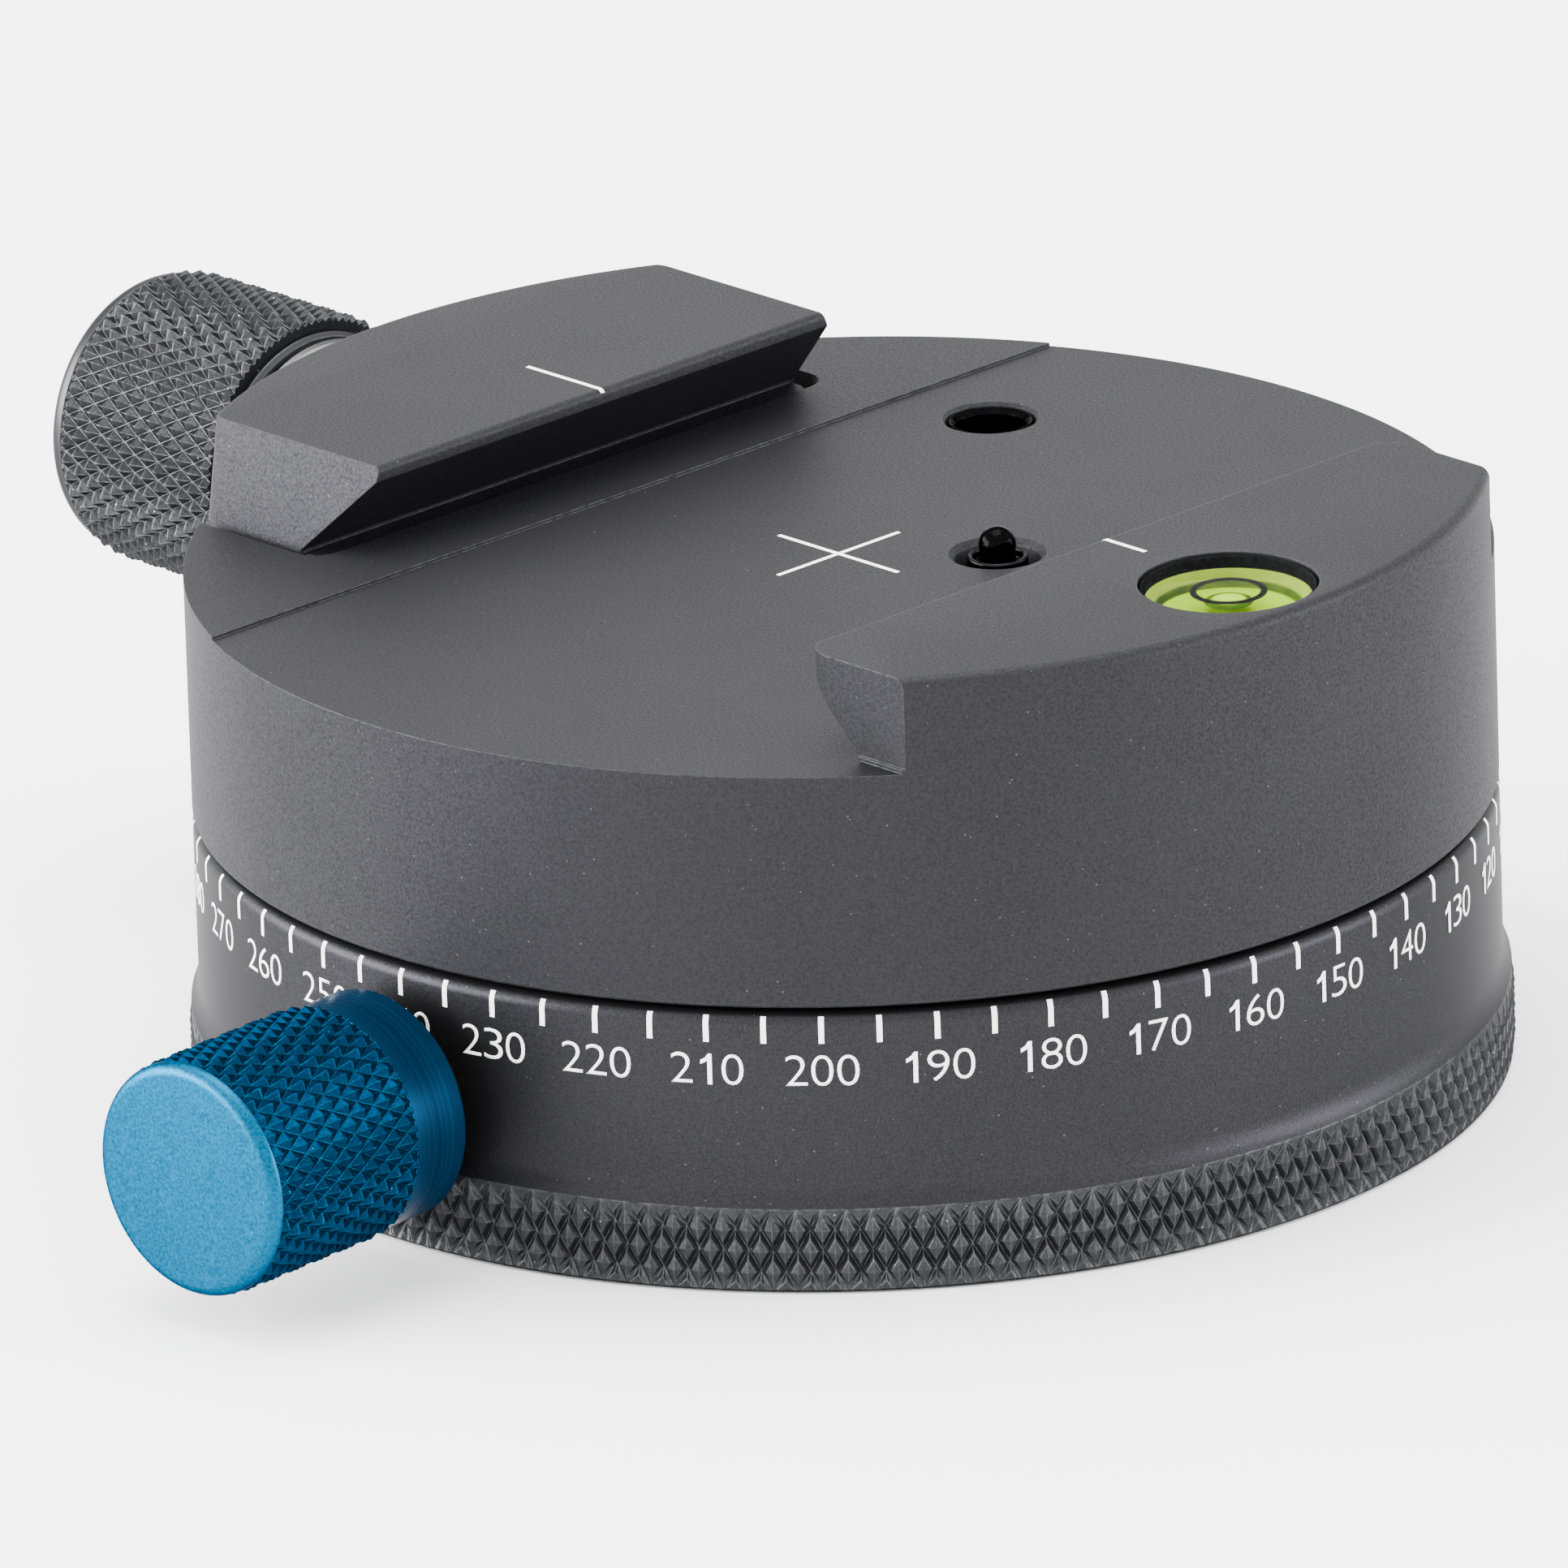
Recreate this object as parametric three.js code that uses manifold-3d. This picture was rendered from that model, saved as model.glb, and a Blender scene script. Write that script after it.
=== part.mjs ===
// A panoramic tripod head: a clamp for dovetail camera plates that turns on a base with a degree scale.
// Millimetres, +Z up. The origin lies on the clamp's seat, on the axis that the head turns about.
// +X crosses the channel toward the fixed jaw, and the channel runs along Y.
import * as THREE from "three";
import { mergeVertices } from "three/addons/utils/BufferGeometryUtils.js";
import Module from "manifold-3d";

const wasm = await Module();
wasm.setup();

// Driving dimensions of the whole head
const drumRadius = 29.5;
const drumDepth = 10.84;
const jawHeight = 4.4;
const turnGap = 0.27;
const seatGap = 0.3;
const slideGap = 0.15;
const overrun = 1;

// The two jaws: how far each reaches in from the rim at the seat, and how far its lip overhangs that foot
const fixedJawWidth = 9.2;
const fixedOverhang = 3.2;
const movingJawWidth = 10.75;
const movingOverhang = 3.75;
const lipThickness = 0.75;
const lipRadius = 0.3;
const flankBendShare = 0.125;
const rimRadius = 0.45;
const rimBreak = 0.12;
const fixedJawHalfLength = 18.5;
const ledgeHeight = 0.35;
const ledgeOut = 0.15;
const movingJawHalfLength = 15.6;
const movingJawTopHalfLength = 14;
const movingJawCorner = 5;
const stepReach = 16.47;
const stepHeight = 0.15;

// The pocket that the moving jaw slides in, and the jaw's tongue
const pocketReach = 12.5;
const pocketHalfWidth = 16.25;
const pocketCorner = 1.3;
const pocketFloorThickness = 1.44;
const tongueDrop = 0.15;
const tongueSideGap = 0.85;
const tongueCorner = 1;

// The clamp knob and its spindle, on an axis along X
const clampDropShare = 0.3155;
const spindleRadius = 2.5;
const spindleGrip = 8.5;
const clampKnobRadius = 6.915;
const clampKnobLength = 11.37;
const clampKnobStandoff = 4.54;
const clampKnobChamfer = 0.71;
const clampKnobChamferLength = 0.97;
const clampKnobBack = 6.6;
const clampKnobBackLength = 0.41;
const collarRadius = 5.75;
const washerThickness = 0.9;
const washerRadius = 4.3;
const spotFaceDepth = 0.55;
const spotFaceMargin = 0.35;
const guidePinRadius = 1.5;
const guidePinSpread = 10;
const guidePinDropShare = 0.415;
const guidePinGrip = 7.2;
const guidePinReach = 7.2;
const returnSpringRadius = 1.5;
const returnSpringWire = 0.3;
const returnSpringSpread = 5.6;
const returnSpringDropShare = 0.585;
const returnSpringLength = 9.6;
const returnSpringTurns = 6;
const crossPinRadius = 0.75;

// The lock knob and its screw, on a radial axis through the base
const lockAzimuth = THREE.MathUtils.degToRad(-86.74);
const lockHeightShare = 0.469;
const lockKnobRadius = 5.5;
const lockBandRadius = 5;
const lockKnobStandoff = 1;
const lockBandLength = 3.25;
const lockKnurlLength = 9.4;
const lockKnobChamfer = 0.55;
const knobCapThickness = 1.8;
const lockScrewRadius = 2;
const lockBushRadius = 3;
const lockBushOut = 0.75;
const lockShoeRadius = 2.6;
const lockShoeLength = 2.6;
const lockTravel = 0.4;
const lockRest = 0.45;
const grubRadius = 1;
const grubLength = 2;

// The base under the drum
const knurlOut = 0.5;
const knurlHeight = 3.99;
const ringFootHeight = 5.24;
const ringTopChamfer = 0.35;
const baseChamfer = 0.7;
const brakeRadiusShare = 0.77;
const flangeBoreShare = 0.55;
const cavityShare = 0.366;
const flangeThickness = 2.06;
const glideThickness = 0.6;
const glideWallGap = 0.4;
const hubThickness = 4.44;
const plateThickness = 2.7;
const plateRadiusShare = 0.936;
const hubPlateGap = 1.1;
const hubScrewShare = 0.454;
const hubScrewReach = 4.4;
const hubScrewSink = 3.2;
const hubScrewRadius = 1.5;
const plateScrewShare = 0.844;
const plateScrewRadius = 1.25;
const plateScrewLength = 6.9;
const screwCount = 4;
const headShare = 2;
const socketShare = 0.85;
const waveThickness = 0.35;
const bushRadius = 7;
const bushFlangeRadius = 9.6;
const bushFlangeThickness = 1.6;
const bushTopCap = 1.4;
const bushReachShare = 0.55;
const threadRadius = 4.76;
const threadChamfer = 0.5;

// The level in the fixed jaw, the stop pin and the spare threaded hole in the seat
const levelPlaceShare = 0.489;
const levelRadiusShare = 0.44;
const levelDepth = 4.2;
const levelWall = 0.55;
const levelFloor = 0.8;
const lensThickness = 0.7;
const lensDome = 0.12;
const pinHolePlace = new THREE.Vector2(5.35, 4.77);
const pinHoleRadius = 2;
const pinHoleDepth = 9;
const pinSleeveWall = 0.6;
const pinSleeveDrop = 0.45;
const pinSleeveLip = 0.9;
const pinRadius = 0.85;
const pinHeight = 1.25;
const pinShoulder = 0.2;
const pinShoulderLength = 1.6;
const pinSpringWire = 0.22;
const pinSpringTurns = 5;
const spareHolePlace = new THREE.Vector2(-7.98, 17.6);
const spareHoleRadius = 1.75;
const spareHoleDepth = 8;
const holeChamfer = 0.28;
const spareHoleChamfer = 0.45;

// How finely rounds are divided
const bigSegments = 72;
const middleSegments = 40;
const smallSegments = 16;
const arcSegments = 4;
const wireSides = 4;
const turnSteps = 8;
const hexSides = 6;
const mergeDistance = 1e-4;

// Heights and radii that follow from them
const fixedFoot = drumRadius - fixedJawWidth;
const fixedNose = fixedFoot - fixedOverhang;
const movingFoot = drumRadius - movingJawWidth;
const movingNose = movingFoot - movingOverhang;
const pocketEdge = drumRadius - pocketReach;
const stepEdge = drumRadius - stepReach;
const clampHeight = -drumDepth * clampDropShare;
const pocketFloor = -drumDepth + pocketFloorThickness;
const tongueBottom = pocketFloor + seatGap;
const tongueEdge = pocketEdge + seatGap;
const tongueHalfLength = pocketHalfWidth - tongueSideGap;
const jawFootDepth = 2 * tongueDrop;
const ringTop = -drumDepth - turnGap;
const glideTop = -drumDepth - seatGap;
const flangeTop = glideTop - glideThickness - seatGap;
const flangeBottom = flangeTop - flangeThickness;
const lowGlideTop = flangeBottom - seatGap;
const lowGlideBottom = lowGlideTop - glideThickness;
const waveTop = lowGlideBottom - seatGap;
const hubTop = waveTop - waveThickness - seatGap;
const hubBottom = hubTop - hubThickness;
const plateTop = hubBottom - hubPlateGap;
const plateSeat = plateTop + seatGap;
const baseBottom = plateTop - plateThickness;
const knurlTop = baseBottom + knurlHeight;
const ringFoot = baseBottom + ringFootHeight;
const spigotBottom = hubTop + seatGap;
const brakeRadius = drumRadius * brakeRadiusShare;
const hubRadius = brakeRadius - glideWallGap;
const flangeBore = drumRadius * flangeBoreShare;
const spigotRadius = flangeBore - glideWallGap;
const cavityRadius = drumRadius * cavityShare;
const plateRadius = drumRadius * plateRadiusShare;
const hubScrewCircle = drumRadius * hubScrewShare;
const plateScrewCircle = drumRadius * plateScrewShare;
const lockHeight = -drumDepth + (baseBottom + drumDepth) * lockHeightShare;
const bushFlangeBottom = plateTop + seatGap;
const bushTop = bushFlangeBottom + bushFlangeThickness + drumDepth * bushReachShare;
const cavityTop = bushTop + seatGap * 2;
const levelX = fixedFoot + (drumRadius - fixedFoot) * levelPlaceShare;
const levelRadius = (drumRadius - fixedFoot) * levelRadiusShare;
const guidePinHeight = -drumDepth * guidePinDropShare;
const returnSpringHeight = -drumDepth * returnSpringDropShare;
const spotFace = drumRadius - spotFaceDepth;
const collarStart = spotFace + seatGap;
const clampKnobStart = drumRadius + clampKnobStandoff;
const clampKnobEnd = clampKnobStart + clampKnobLength;
const knurlRadius = drumRadius + knurlOut;
const lockKnobStart = knurlRadius + lockKnobStandoff;
const lockKnurlStart = lockKnobStart + lockBandLength;
const lockKnobEnd = lockKnurlStart + lockKnurlLength;
const lockBoreEnd = lockKnobEnd - knobCapThickness;

// Materials, one for each finish
function finish(colour, roughness, metalness) {
  return new THREE.MeshStandardMaterial({ color: colour, roughness, metalness });
}
const blastedGrey = finish(0x45464a, 0.55, 0.8);
const turnedGrey = finish(0x4c4d51, 0.4, 0.85);
const knobGrey = finish(0x3d3e42, 0.45, 0.85);
const blueAnodised = finish(0x0a6fb0, 0.35, 0.85);
const brightSteel = finish(0xb4b6ba, 0.3, 1);
const blackSteel = finish(0x18191b, 0.3, 0.9);
const springSteel = finish(0x8d9096, 0.35, 1);
const brass = finish(0xb08d45, 0.35, 1);
const slidePlastic = finish(0xe4e2da, 0.55, 0);
const brakePlastic = finish(0x2a2a2c, 0.6, 0);
const levelBlack = finish(0x101113, 0.35, 0);
const levelFluid = finish(0xb6d23a, 0.15, 0);
const clearLens = finish(0xe9efe6, 0.08, 0);

// A solid of revolution about Z from [radius, height] pairs, listed upward along the outside
function turned(profile, segments) {
  const points = profile.map(([radius, height]) => new THREE.Vector2(radius, height));
  return new THREE.LatheGeometry(points, segments).rotateX(Math.PI / 2);
}

// The same about X: heights become places along X
function turnedAlongX(profile, segments) {
  return turned(profile, segments).rotateY(Math.PI / 2);
}

// A ring or tube of a rectangular section
function ringProfile(inner, outer, bottom, top) {
  return [[inner, bottom], [outer, bottom], [outer, top], [inner, top], [inner, bottom]];
}

function rodProfile(radius, bottom, top) {
  return [[0, bottom], [radius, bottom], [radius, top], [0, top]];
}

// A closed outline through corners [x, y, radius], each rounded by its radius
function roundedOutline(corners) {
  const shape = new THREE.Shape();
  corners.forEach(([x, y, radius], i) => {
    const corner = new THREE.Vector2(x, y);
    const before = new THREE.Vector2(...corners.at(i - 1).slice(0, 2));
    const after = new THREE.Vector2(...corners[(i + 1) % corners.length].slice(0, 2));
    const back = before.sub(corner).normalize();
    const on = after.sub(corner).normalize();
    const reach = radius / Math.tan(back.angleTo(on) / 2);
    const start = corner.clone().addScaledVector(back, reach);
    const end = corner.clone().addScaledVector(on, reach);
    if (i === 0) shape.moveTo(start.x, start.y);
    else shape.lineTo(start.x, start.y);
    if (radius > 0) shape.quadraticCurveTo(x, y, end.x, end.y);
  });
  shape.closePath();
  return shape;
}

function extruded(shape, depth, curveSegments) {
  return new THREE.ExtrudeGeometry(shape, { depth, bevelEnabled: false, curveSegments });
}

// A plan outline in X and Y, raised from one height to another
function raised(shape, bottom, top) {
  return extruded(shape, top - bottom, arcSegments).translate(0, 0, bottom);
}

// A side outline in X and Z, run along Y over a half length both ways
function runAlongY(shape, halfLength) {
  return extruded(shape, 2 * halfLength, arcSegments).rotateX(Math.PI / 2).translate(0, halfLength, 0);
}

// A closed geometry as a solid that can be cut and joined, and the way back
function solidOf(geometry) {
  const plain = geometry.clone();
  plain.deleteAttribute("normal");
  plain.deleteAttribute("uv");
  const merged = mergeVertices(plain, mergeDistance);
  const corners = Array.from(merged.index.array);
  const kept = [];
  for (let i = 0; i < corners.length; i += 3) {
    const [a, b, c] = corners.slice(i, i + 3);
    if (a !== b && b !== c && c !== a) kept.push(a, b, c);
  }
  const vertProperties = merged.attributes.position.array;
  return new wasm.Manifold(new wasm.Mesh({ numProp: 3, vertProperties, triVerts: new Uint32Array(kept) }));
}

function geometryOf(solid) {
  const mesh = solid.getMesh();
  const geometry = new THREE.BufferGeometry();
  geometry.setAttribute("position", new THREE.BufferAttribute(new Float32Array(mesh.vertProperties), 3));
  geometry.setIndex(new THREE.BufferAttribute(new Uint32Array(mesh.triVerts), 1));
  const faceted = geometry.toNonIndexed();
  faceted.computeVertexNormals();
  return faceted;
}

function cut(geometry, ...tools) {
  return geometryOf(tools.reduce((solid, tool) => solid.subtract(solidOf(tool)), solidOf(geometry)));
}

function join(...geometries) {
  const [first, ...rest] = geometries.map(solidOf);
  return geometryOf(rest.reduce((solid, other) => solid.add(other), first));
}

function common(...geometries) {
  const [first, ...rest] = geometries.map(solidOf);
  return geometryOf(rest.reduce((solid, other) => solid.intersect(other), first));
}

function mesh(name, geometry, material, x = 0, y = 0, z = 0) {
  const piece = new THREE.Mesh(geometry, material);
  piece.name = name;
  piece.position.set(x, y, z);
  return piece;
}

// A rectangle in plan that is open toward -X past the rim, with its two inner corners rounded
function pocketOutline(edge, halfWidth, corner) {
  const far = drumRadius + overrun;
  return roundedOutline([
    [-far, -halfWidth, 0],
    [-edge, -halfWidth, corner],
    [-edge, halfWidth, corner],
    [-far, halfWidth, 0],
  ]);
}

// The quarter round that a disc's upper rim ends in
function roundedRim(radius, height, corner) {
  return Array.from({ length: arcSegments + 1 }, (_, i) => {
    const turn = (Math.PI / 2) * (i / arcSegments);
    return [radius - corner + corner * Math.cos(turn), height - corner + corner * Math.sin(turn)];
  });
}

// A countersunk drill along Z that opens upward at a height
function drill(radius, mouth, depth, chamfer) {
  return turned(
    [
      [0, mouth - depth],
      [radius, mouth - depth],
      [radius, mouth - chamfer],
      [radius + chamfer, mouth],
      [radius + chamfer, mouth + overrun],
      [0, mouth + overrun],
    ],
    smallSegments,
  );
}

// A plain drill along X from one place to another, at a place in Y and Z
function drillAlongX(radius, from, to, y, z) {
  return turnedAlongX(rodProfile(radius, from, to), smallSegments).translate(0, y, z);
}

// Places evenly round the turning axis, starting at 45 degrees
function aroundAxis(count, circle) {
  return Array.from({ length: count }, (_, i) => {
    const turn = Math.PI / 4 + (2 * Math.PI * i) / count;
    return [circle * Math.cos(turn), circle * Math.sin(turn)];
  });
}

// A wire spring along Z, from one height to another
class Coil extends THREE.Curve {
  constructor(radius, bottom, top, turns) {
    super();
    Object.assign(this, { radius, bottom, top, turns });
  }
  getPoint(t, target = new THREE.Vector3()) {
    const turn = 2 * Math.PI * this.turns * t;
    const height = this.bottom + (this.top - this.bottom) * t;
    return target.set(this.radius * Math.cos(turn), this.radius * Math.sin(turn), height);
  }
}

function spring(radius, wire, bottom, top, turns) {
  const section = new THREE.Shape();
  section.absarc(0, 0, wire, 0, 2 * Math.PI, false);
  const coil = new Coil(radius - wire, bottom + wire, top - wire, turns);
  return new THREE.ExtrudeGeometry(section, {
    steps: turns * turnSteps,
    bevelEnabled: false,
    curveSegments: wireSides / 2,
    extrudePath: coil,
  });
}

// The drum's fixed jaw: a hooked outline whose flank steepens from the seat up to the lip
function fixedJawOutline() {
  const far = drumRadius + overrun;
  const noseHeight = jawHeight - lipThickness;
  const flankBend = fixedNose + (fixedFoot - fixedNose) * flankBendShare;
  const outline = new THREE.Shape();
  outline.moveTo(far, -overrun);
  outline.lineTo(far, jawHeight + overrun);
  outline.lineTo(fixedNose + lipRadius, jawHeight + overrun);
  outline.lineTo(fixedNose + lipRadius, jawHeight);
  outline.quadraticCurveTo(fixedNose, jawHeight, fixedNose, jawHeight - lipRadius);
  outline.lineTo(fixedNose, noseHeight);
  outline.quadraticCurveTo(flankBend, fixedFoot - flankBend, fixedFoot, 0);
  outline.lineTo(fixedFoot, -overrun);
  outline.closePath();
  return outline;
}

function fixedJaw() {
  const block = turned(
    [[0, -overrun], [drumRadius, -overrun], ...roundedRim(drumRadius, jawHeight, rimRadius), [0, jawHeight]],
    bigSegments,
  );
  const hook = runAlongY(fixedJawOutline(), fixedJawHalfLength);
  const ledge = new THREE.BoxGeometry(drumRadius, 2 * (fixedJawHalfLength + ledgeOut), ledgeHeight + overrun);
  ledge.translate(fixedFoot + drumRadius / 2, 0, (ledgeHeight - overrun) / 2);
  return common(block, join(hook, ledge));
}

// The turning drum: seat, fixed jaw, pocket, and the spigot that reaches down through the base's flange
function upperDrum() {
  const body = turned(
    [
      [0, cavityTop],
      [cavityRadius, cavityTop],
      [cavityRadius, spigotBottom],
      [spigotRadius, spigotBottom],
      [spigotRadius, -drumDepth],
      [drumRadius - rimBreak, -drumDepth],
      [drumRadius, -drumDepth + rimBreak],
      [drumRadius, -rimBreak],
      [drumRadius - rimBreak, 0],
      [0, 0],
    ],
    bigSegments,
  );
  const stepBlank = turned(rodProfile(drumRadius - rimBreak, -overrun, stepHeight), bigSegments);
  const stepSide = new THREE.BoxGeometry(2 * drumRadius, 2 * drumRadius, 2 * overrun);
  const step = common(stepBlank, stepSide.translate(-stepEdge - drumRadius, 0, 0));
  const pocket = raised(pocketOutline(pocketEdge, pocketHalfWidth, pocketCorner), pocketFloor, overrun);
  const spindleBore = drillAlongX(
    spindleRadius + seatGap,
    -pocketEdge - overrun,
    -pocketEdge + spindleGrip + seatGap,
    0,
    clampHeight,
  );
  const pinBores = [-1, 1].map((side) =>
    drillAlongX(
      guidePinRadius + seatGap,
      -pocketEdge - overrun,
      -pocketEdge + guidePinGrip + seatGap,
      side * guidePinSpread,
      guidePinHeight,
    ),
  );
  const springBores = [-1, 1].map((side) =>
    drillAlongX(
      returnSpringRadius + seatGap,
      -pocketEdge - overrun,
      -pocketEdge + returnSpringLength / 2,
      side * returnSpringSpread,
      returnSpringHeight,
    ),
  );
  const pinHole = drill(pinHoleRadius, 0, pinHoleDepth, holeChamfer).translate(...pinHolePlace, 0);
  const spareHole = drill(spareHoleRadius, 0, spareHoleDepth, spareHoleChamfer);
  spareHole.translate(...spareHolePlace, 0);
  const screwHoles = aroundAxis(screwCount, hubScrewCircle).map(([x, y]) =>
    turned(
      rodProfile(hubScrewRadius + seatGap, spigotBottom - overrun, spigotBottom + hubScrewReach + seatGap),
      smallSegments,
    ).translate(x, y, 0),
  );
  const levelHole = turned(
    rodProfile(levelRadius, jawHeight - levelDepth, jawHeight + overrun),
    middleSegments,
  ).translate(levelX, 0, 0);
  return cut(
    join(body, step, fixedJaw()),
    pocket,
    spindleBore,
    ...pinBores,
    ...springBores,
    pinHole,
    spareHole,
    ...screwHoles,
    levelHole,
  );
}

// The moving jaw's plan at the seat. Its round corners touch the drum's circle, and past them it runs on
// outside that circle, where the rim trims it.
function movingJawPlan() {
  const centreY = movingJawHalfLength - movingJawCorner;
  const centreX = -Math.sqrt((drumRadius - movingJawCorner) ** 2 - centreY ** 2);
  const rimTurn = Math.atan2(centreY, centreX);
  const inside = -movingNose / 2;
  const plan = new THREE.Shape();
  plan.moveTo(inside, -movingJawHalfLength);
  plan.lineTo(inside, movingJawHalfLength);
  plan.lineTo(centreX, movingJawHalfLength);
  plan.absarc(centreX, centreY, movingJawCorner, Math.PI / 2, rimTurn, false);
  plan.lineTo(drumRadius / Math.cos(rimTurn), 0);
  plan.absarc(centreX, -centreY, movingJawCorner, 2 * Math.PI - rimTurn, 1.5 * Math.PI, false);
  plan.closePath();
  return plan;
}

// The same plan raised to the jaw's top. Its ends lean in, while each point keeps its distance from the axis.
function leaningJawBlock() {
  const block = raised(movingJawPlan(), -jawFootDepth, jawHeight);
  const place = block.attributes.position;
  for (let i = 0; i < place.count; i += 1) {
    const [x, y, z] = [place.getX(i), place.getY(i), place.getZ(i)];
    const lean = Math.max(z, 0) / jawHeight;
    const scale = 1 - lean * (1 - movingJawTopHalfLength / movingJawHalfLength);
    place.setXY(i, -Math.sqrt(x ** 2 + y ** 2 - (y * scale) ** 2), y * scale);
  }
  return block;
}

function movingJawOutline() {
  const far = drumRadius + overrun;
  const noseHeight = movingFoot - movingNose;
  const outline = new THREE.Shape();
  outline.moveTo(-far, -jawFootDepth);
  outline.lineTo(-movingFoot, -jawFootDepth);
  outline.lineTo(-movingFoot, 0);
  outline.lineTo(-movingNose, noseHeight);
  outline.lineTo(-movingNose, jawHeight - lipRadius);
  outline.quadraticCurveTo(-movingNose, jawHeight, -movingNose - lipRadius, jawHeight);
  outline.lineTo(-far, jawHeight);
  outline.closePath();
  return outline;
}

function slidingJaw() {
  const rim = turned(
    [
      [0, tongueBottom],
      [drumRadius, tongueBottom],
      ...roundedRim(drumRadius, jawHeight, lipRadius),
      [0, jawHeight],
    ],
    bigSegments,
  );
  const upper = common(leaningJawBlock(), runAlongY(movingJawOutline(), drumRadius), rim);
  const tongue = common(
    raised(pocketOutline(tongueEdge, tongueHalfLength, tongueCorner), tongueBottom, -tongueDrop),
    rim,
  );
  const outside = -drumRadius - overrun;
  const spindleBore = drillAlongX(spindleRadius + seatGap, outside, -movingNose, 0, clampHeight);
  const spot = turnedAlongX(
    rodProfile(collarRadius + spotFaceMargin, outside, -spotFace),
    middleSegments,
  ).translate(0, 0, clampHeight);
  const washerSeat = drillAlongX(
    washerRadius + seatGap,
    outside,
    -spotFace + washerThickness + seatGap,
    0,
    clampHeight,
  );
  const pinBores = [-1, 1].map((side) =>
    drillAlongX(
      guidePinRadius + slideGap,
      -tongueEdge - guidePinReach - seatGap,
      -tongueEdge + overrun,
      side * guidePinSpread,
      guidePinHeight,
    ),
  );
  const springBores = [-1, 1].map((side) =>
    drillAlongX(
      returnSpringRadius + seatGap,
      -tongueEdge - returnSpringLength / 2,
      -tongueEdge + overrun,
      side * returnSpringSpread,
      returnSpringHeight,
    ),
  );
  return cut(join(upper, tongue), spindleBore, spot, washerSeat, ...pinBores, ...springBores);
}

// The base: scale ring, grip band and the inner flange that the drum rides on
function baseRing() {
  const wall = turned(
    [
      [plateRadius + seatGap, baseBottom],
      [knurlRadius - baseChamfer, baseBottom],
      [knurlRadius, baseBottom + baseChamfer],
      [knurlRadius, knurlTop],
      [knurlRadius - knurlOut / 4, (knurlTop + ringFoot) / 2],
      [drumRadius, ringFoot],
      [drumRadius, ringTop - ringTopChamfer],
      [drumRadius - ringTopChamfer, ringTop],
      [brakeRadius + glideWallGap, ringTop],
      [brakeRadius + glideWallGap, flangeTop],
      [flangeBore, flangeTop],
      [flangeBore, flangeBottom],
      [brakeRadius, flangeBottom],
      [brakeRadius, plateSeat],
      [plateRadius + seatGap, plateSeat],
      [plateRadius + seatGap, baseBottom],
    ],
    bigSegments,
  );
  const bushBore = turnedAlongX(
    rodProfile(lockBushRadius + seatGap, drumRadius - lockBushLength() - seatGap, knurlRadius + overrun),
    smallSegments,
  );
  const shoeBore = turnedAlongX(
    rodProfile(lockShoeRadius + slideGap, brakeRadius - overrun, knurlRadius),
    smallSegments,
  );
  const lockBores = [bushBore, shoeBore].map((bore) =>
    bore.rotateZ(lockAzimuth).translate(0, 0, lockHeight),
  );
  const screwHoles = aroundAxis(screwCount, plateScrewCircle).map(([x, y]) =>
    turned(
      rodProfile(plateScrewRadius + seatGap, plateSeat - overrun, baseBottom + plateScrewLength + seatGap),
      smallSegments,
    ).translate(x, y, 0),
  );
  return cut(wall, ...lockBores, ...screwHoles);
}

// The threaded bush fills the outer part of the lock's bore, behind the shoe
function lockBushLength() {
  return drumRadius - (brakeRadius - lockRest + lockShoeLength + lockTravel + seatGap);
}

// The countersunk screw that holds the bottom plate, head down, with its hexagon socket
function countersunkScrew(radius, length, clearance) {
  const head = radius * headShare - clearance;
  const body = turned(
    [
      [0, 0],
      [head, 0],
      [head, radius / 4],
      [radius, radius / 4 + head - radius],
      [radius, length],
      [0, length],
    ],
    smallSegments,
  );
  return cut(body, hexSocket(radius * socketShare, 0, radius));
}

function hexSocket(radius, mouth, depth) {
  const socket = new THREE.CylinderGeometry(radius, radius, depth + overrun, hexSides).rotateX(Math.PI / 2);
  return socket.translate(0, 0, mouth + (depth - overrun) / 2);
}

function basePlate() {
  const disc = turned(
    [
      [bushRadius + seatGap, baseBottom],
      [plateRadius - rimBreak, baseBottom],
      [plateRadius, baseBottom + rimBreak],
      [plateRadius, plateTop],
      [bushRadius + seatGap, plateTop],
      [bushRadius + seatGap, baseBottom],
    ],
    bigSegments,
  );
  const head = plateScrewRadius * headShare;
  const sinks = aroundAxis(screwCount, plateScrewCircle).map(([x, y]) =>
    turned(
      [
        [0, baseBottom - overrun],
        [head, baseBottom - overrun],
        [head, baseBottom + plateScrewRadius / 4 + seatGap],
        [plateScrewRadius + seatGap, baseBottom + plateScrewRadius / 4 + head - plateScrewRadius + seatGap],
        [plateScrewRadius + seatGap, plateTop + overrun],
        [0, plateTop + overrun],
      ],
      smallSegments,
    ).translate(x, y, 0),
  );
  return cut(disc, ...sinks);
}

// The steel bush with the tripod's thread, open below, with a flange that bears on the plate
function tripodBush() {
  return turned(
    [
      [0, bushTop - bushTopCap],
      [threadRadius, bushTop - bushTopCap],
      [threadRadius, baseBottom + threadChamfer],
      [threadRadius + threadChamfer, baseBottom],
      [bushRadius, baseBottom],
      [bushRadius, bushFlangeBottom],
      [bushFlangeRadius, bushFlangeBottom],
      [bushFlangeRadius, bushFlangeBottom + bushFlangeThickness],
      [bushRadius, bushFlangeBottom + bushFlangeThickness],
      [bushRadius, bushTop],
      [0, bushTop],
    ],
    middleSegments,
  );
}

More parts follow.
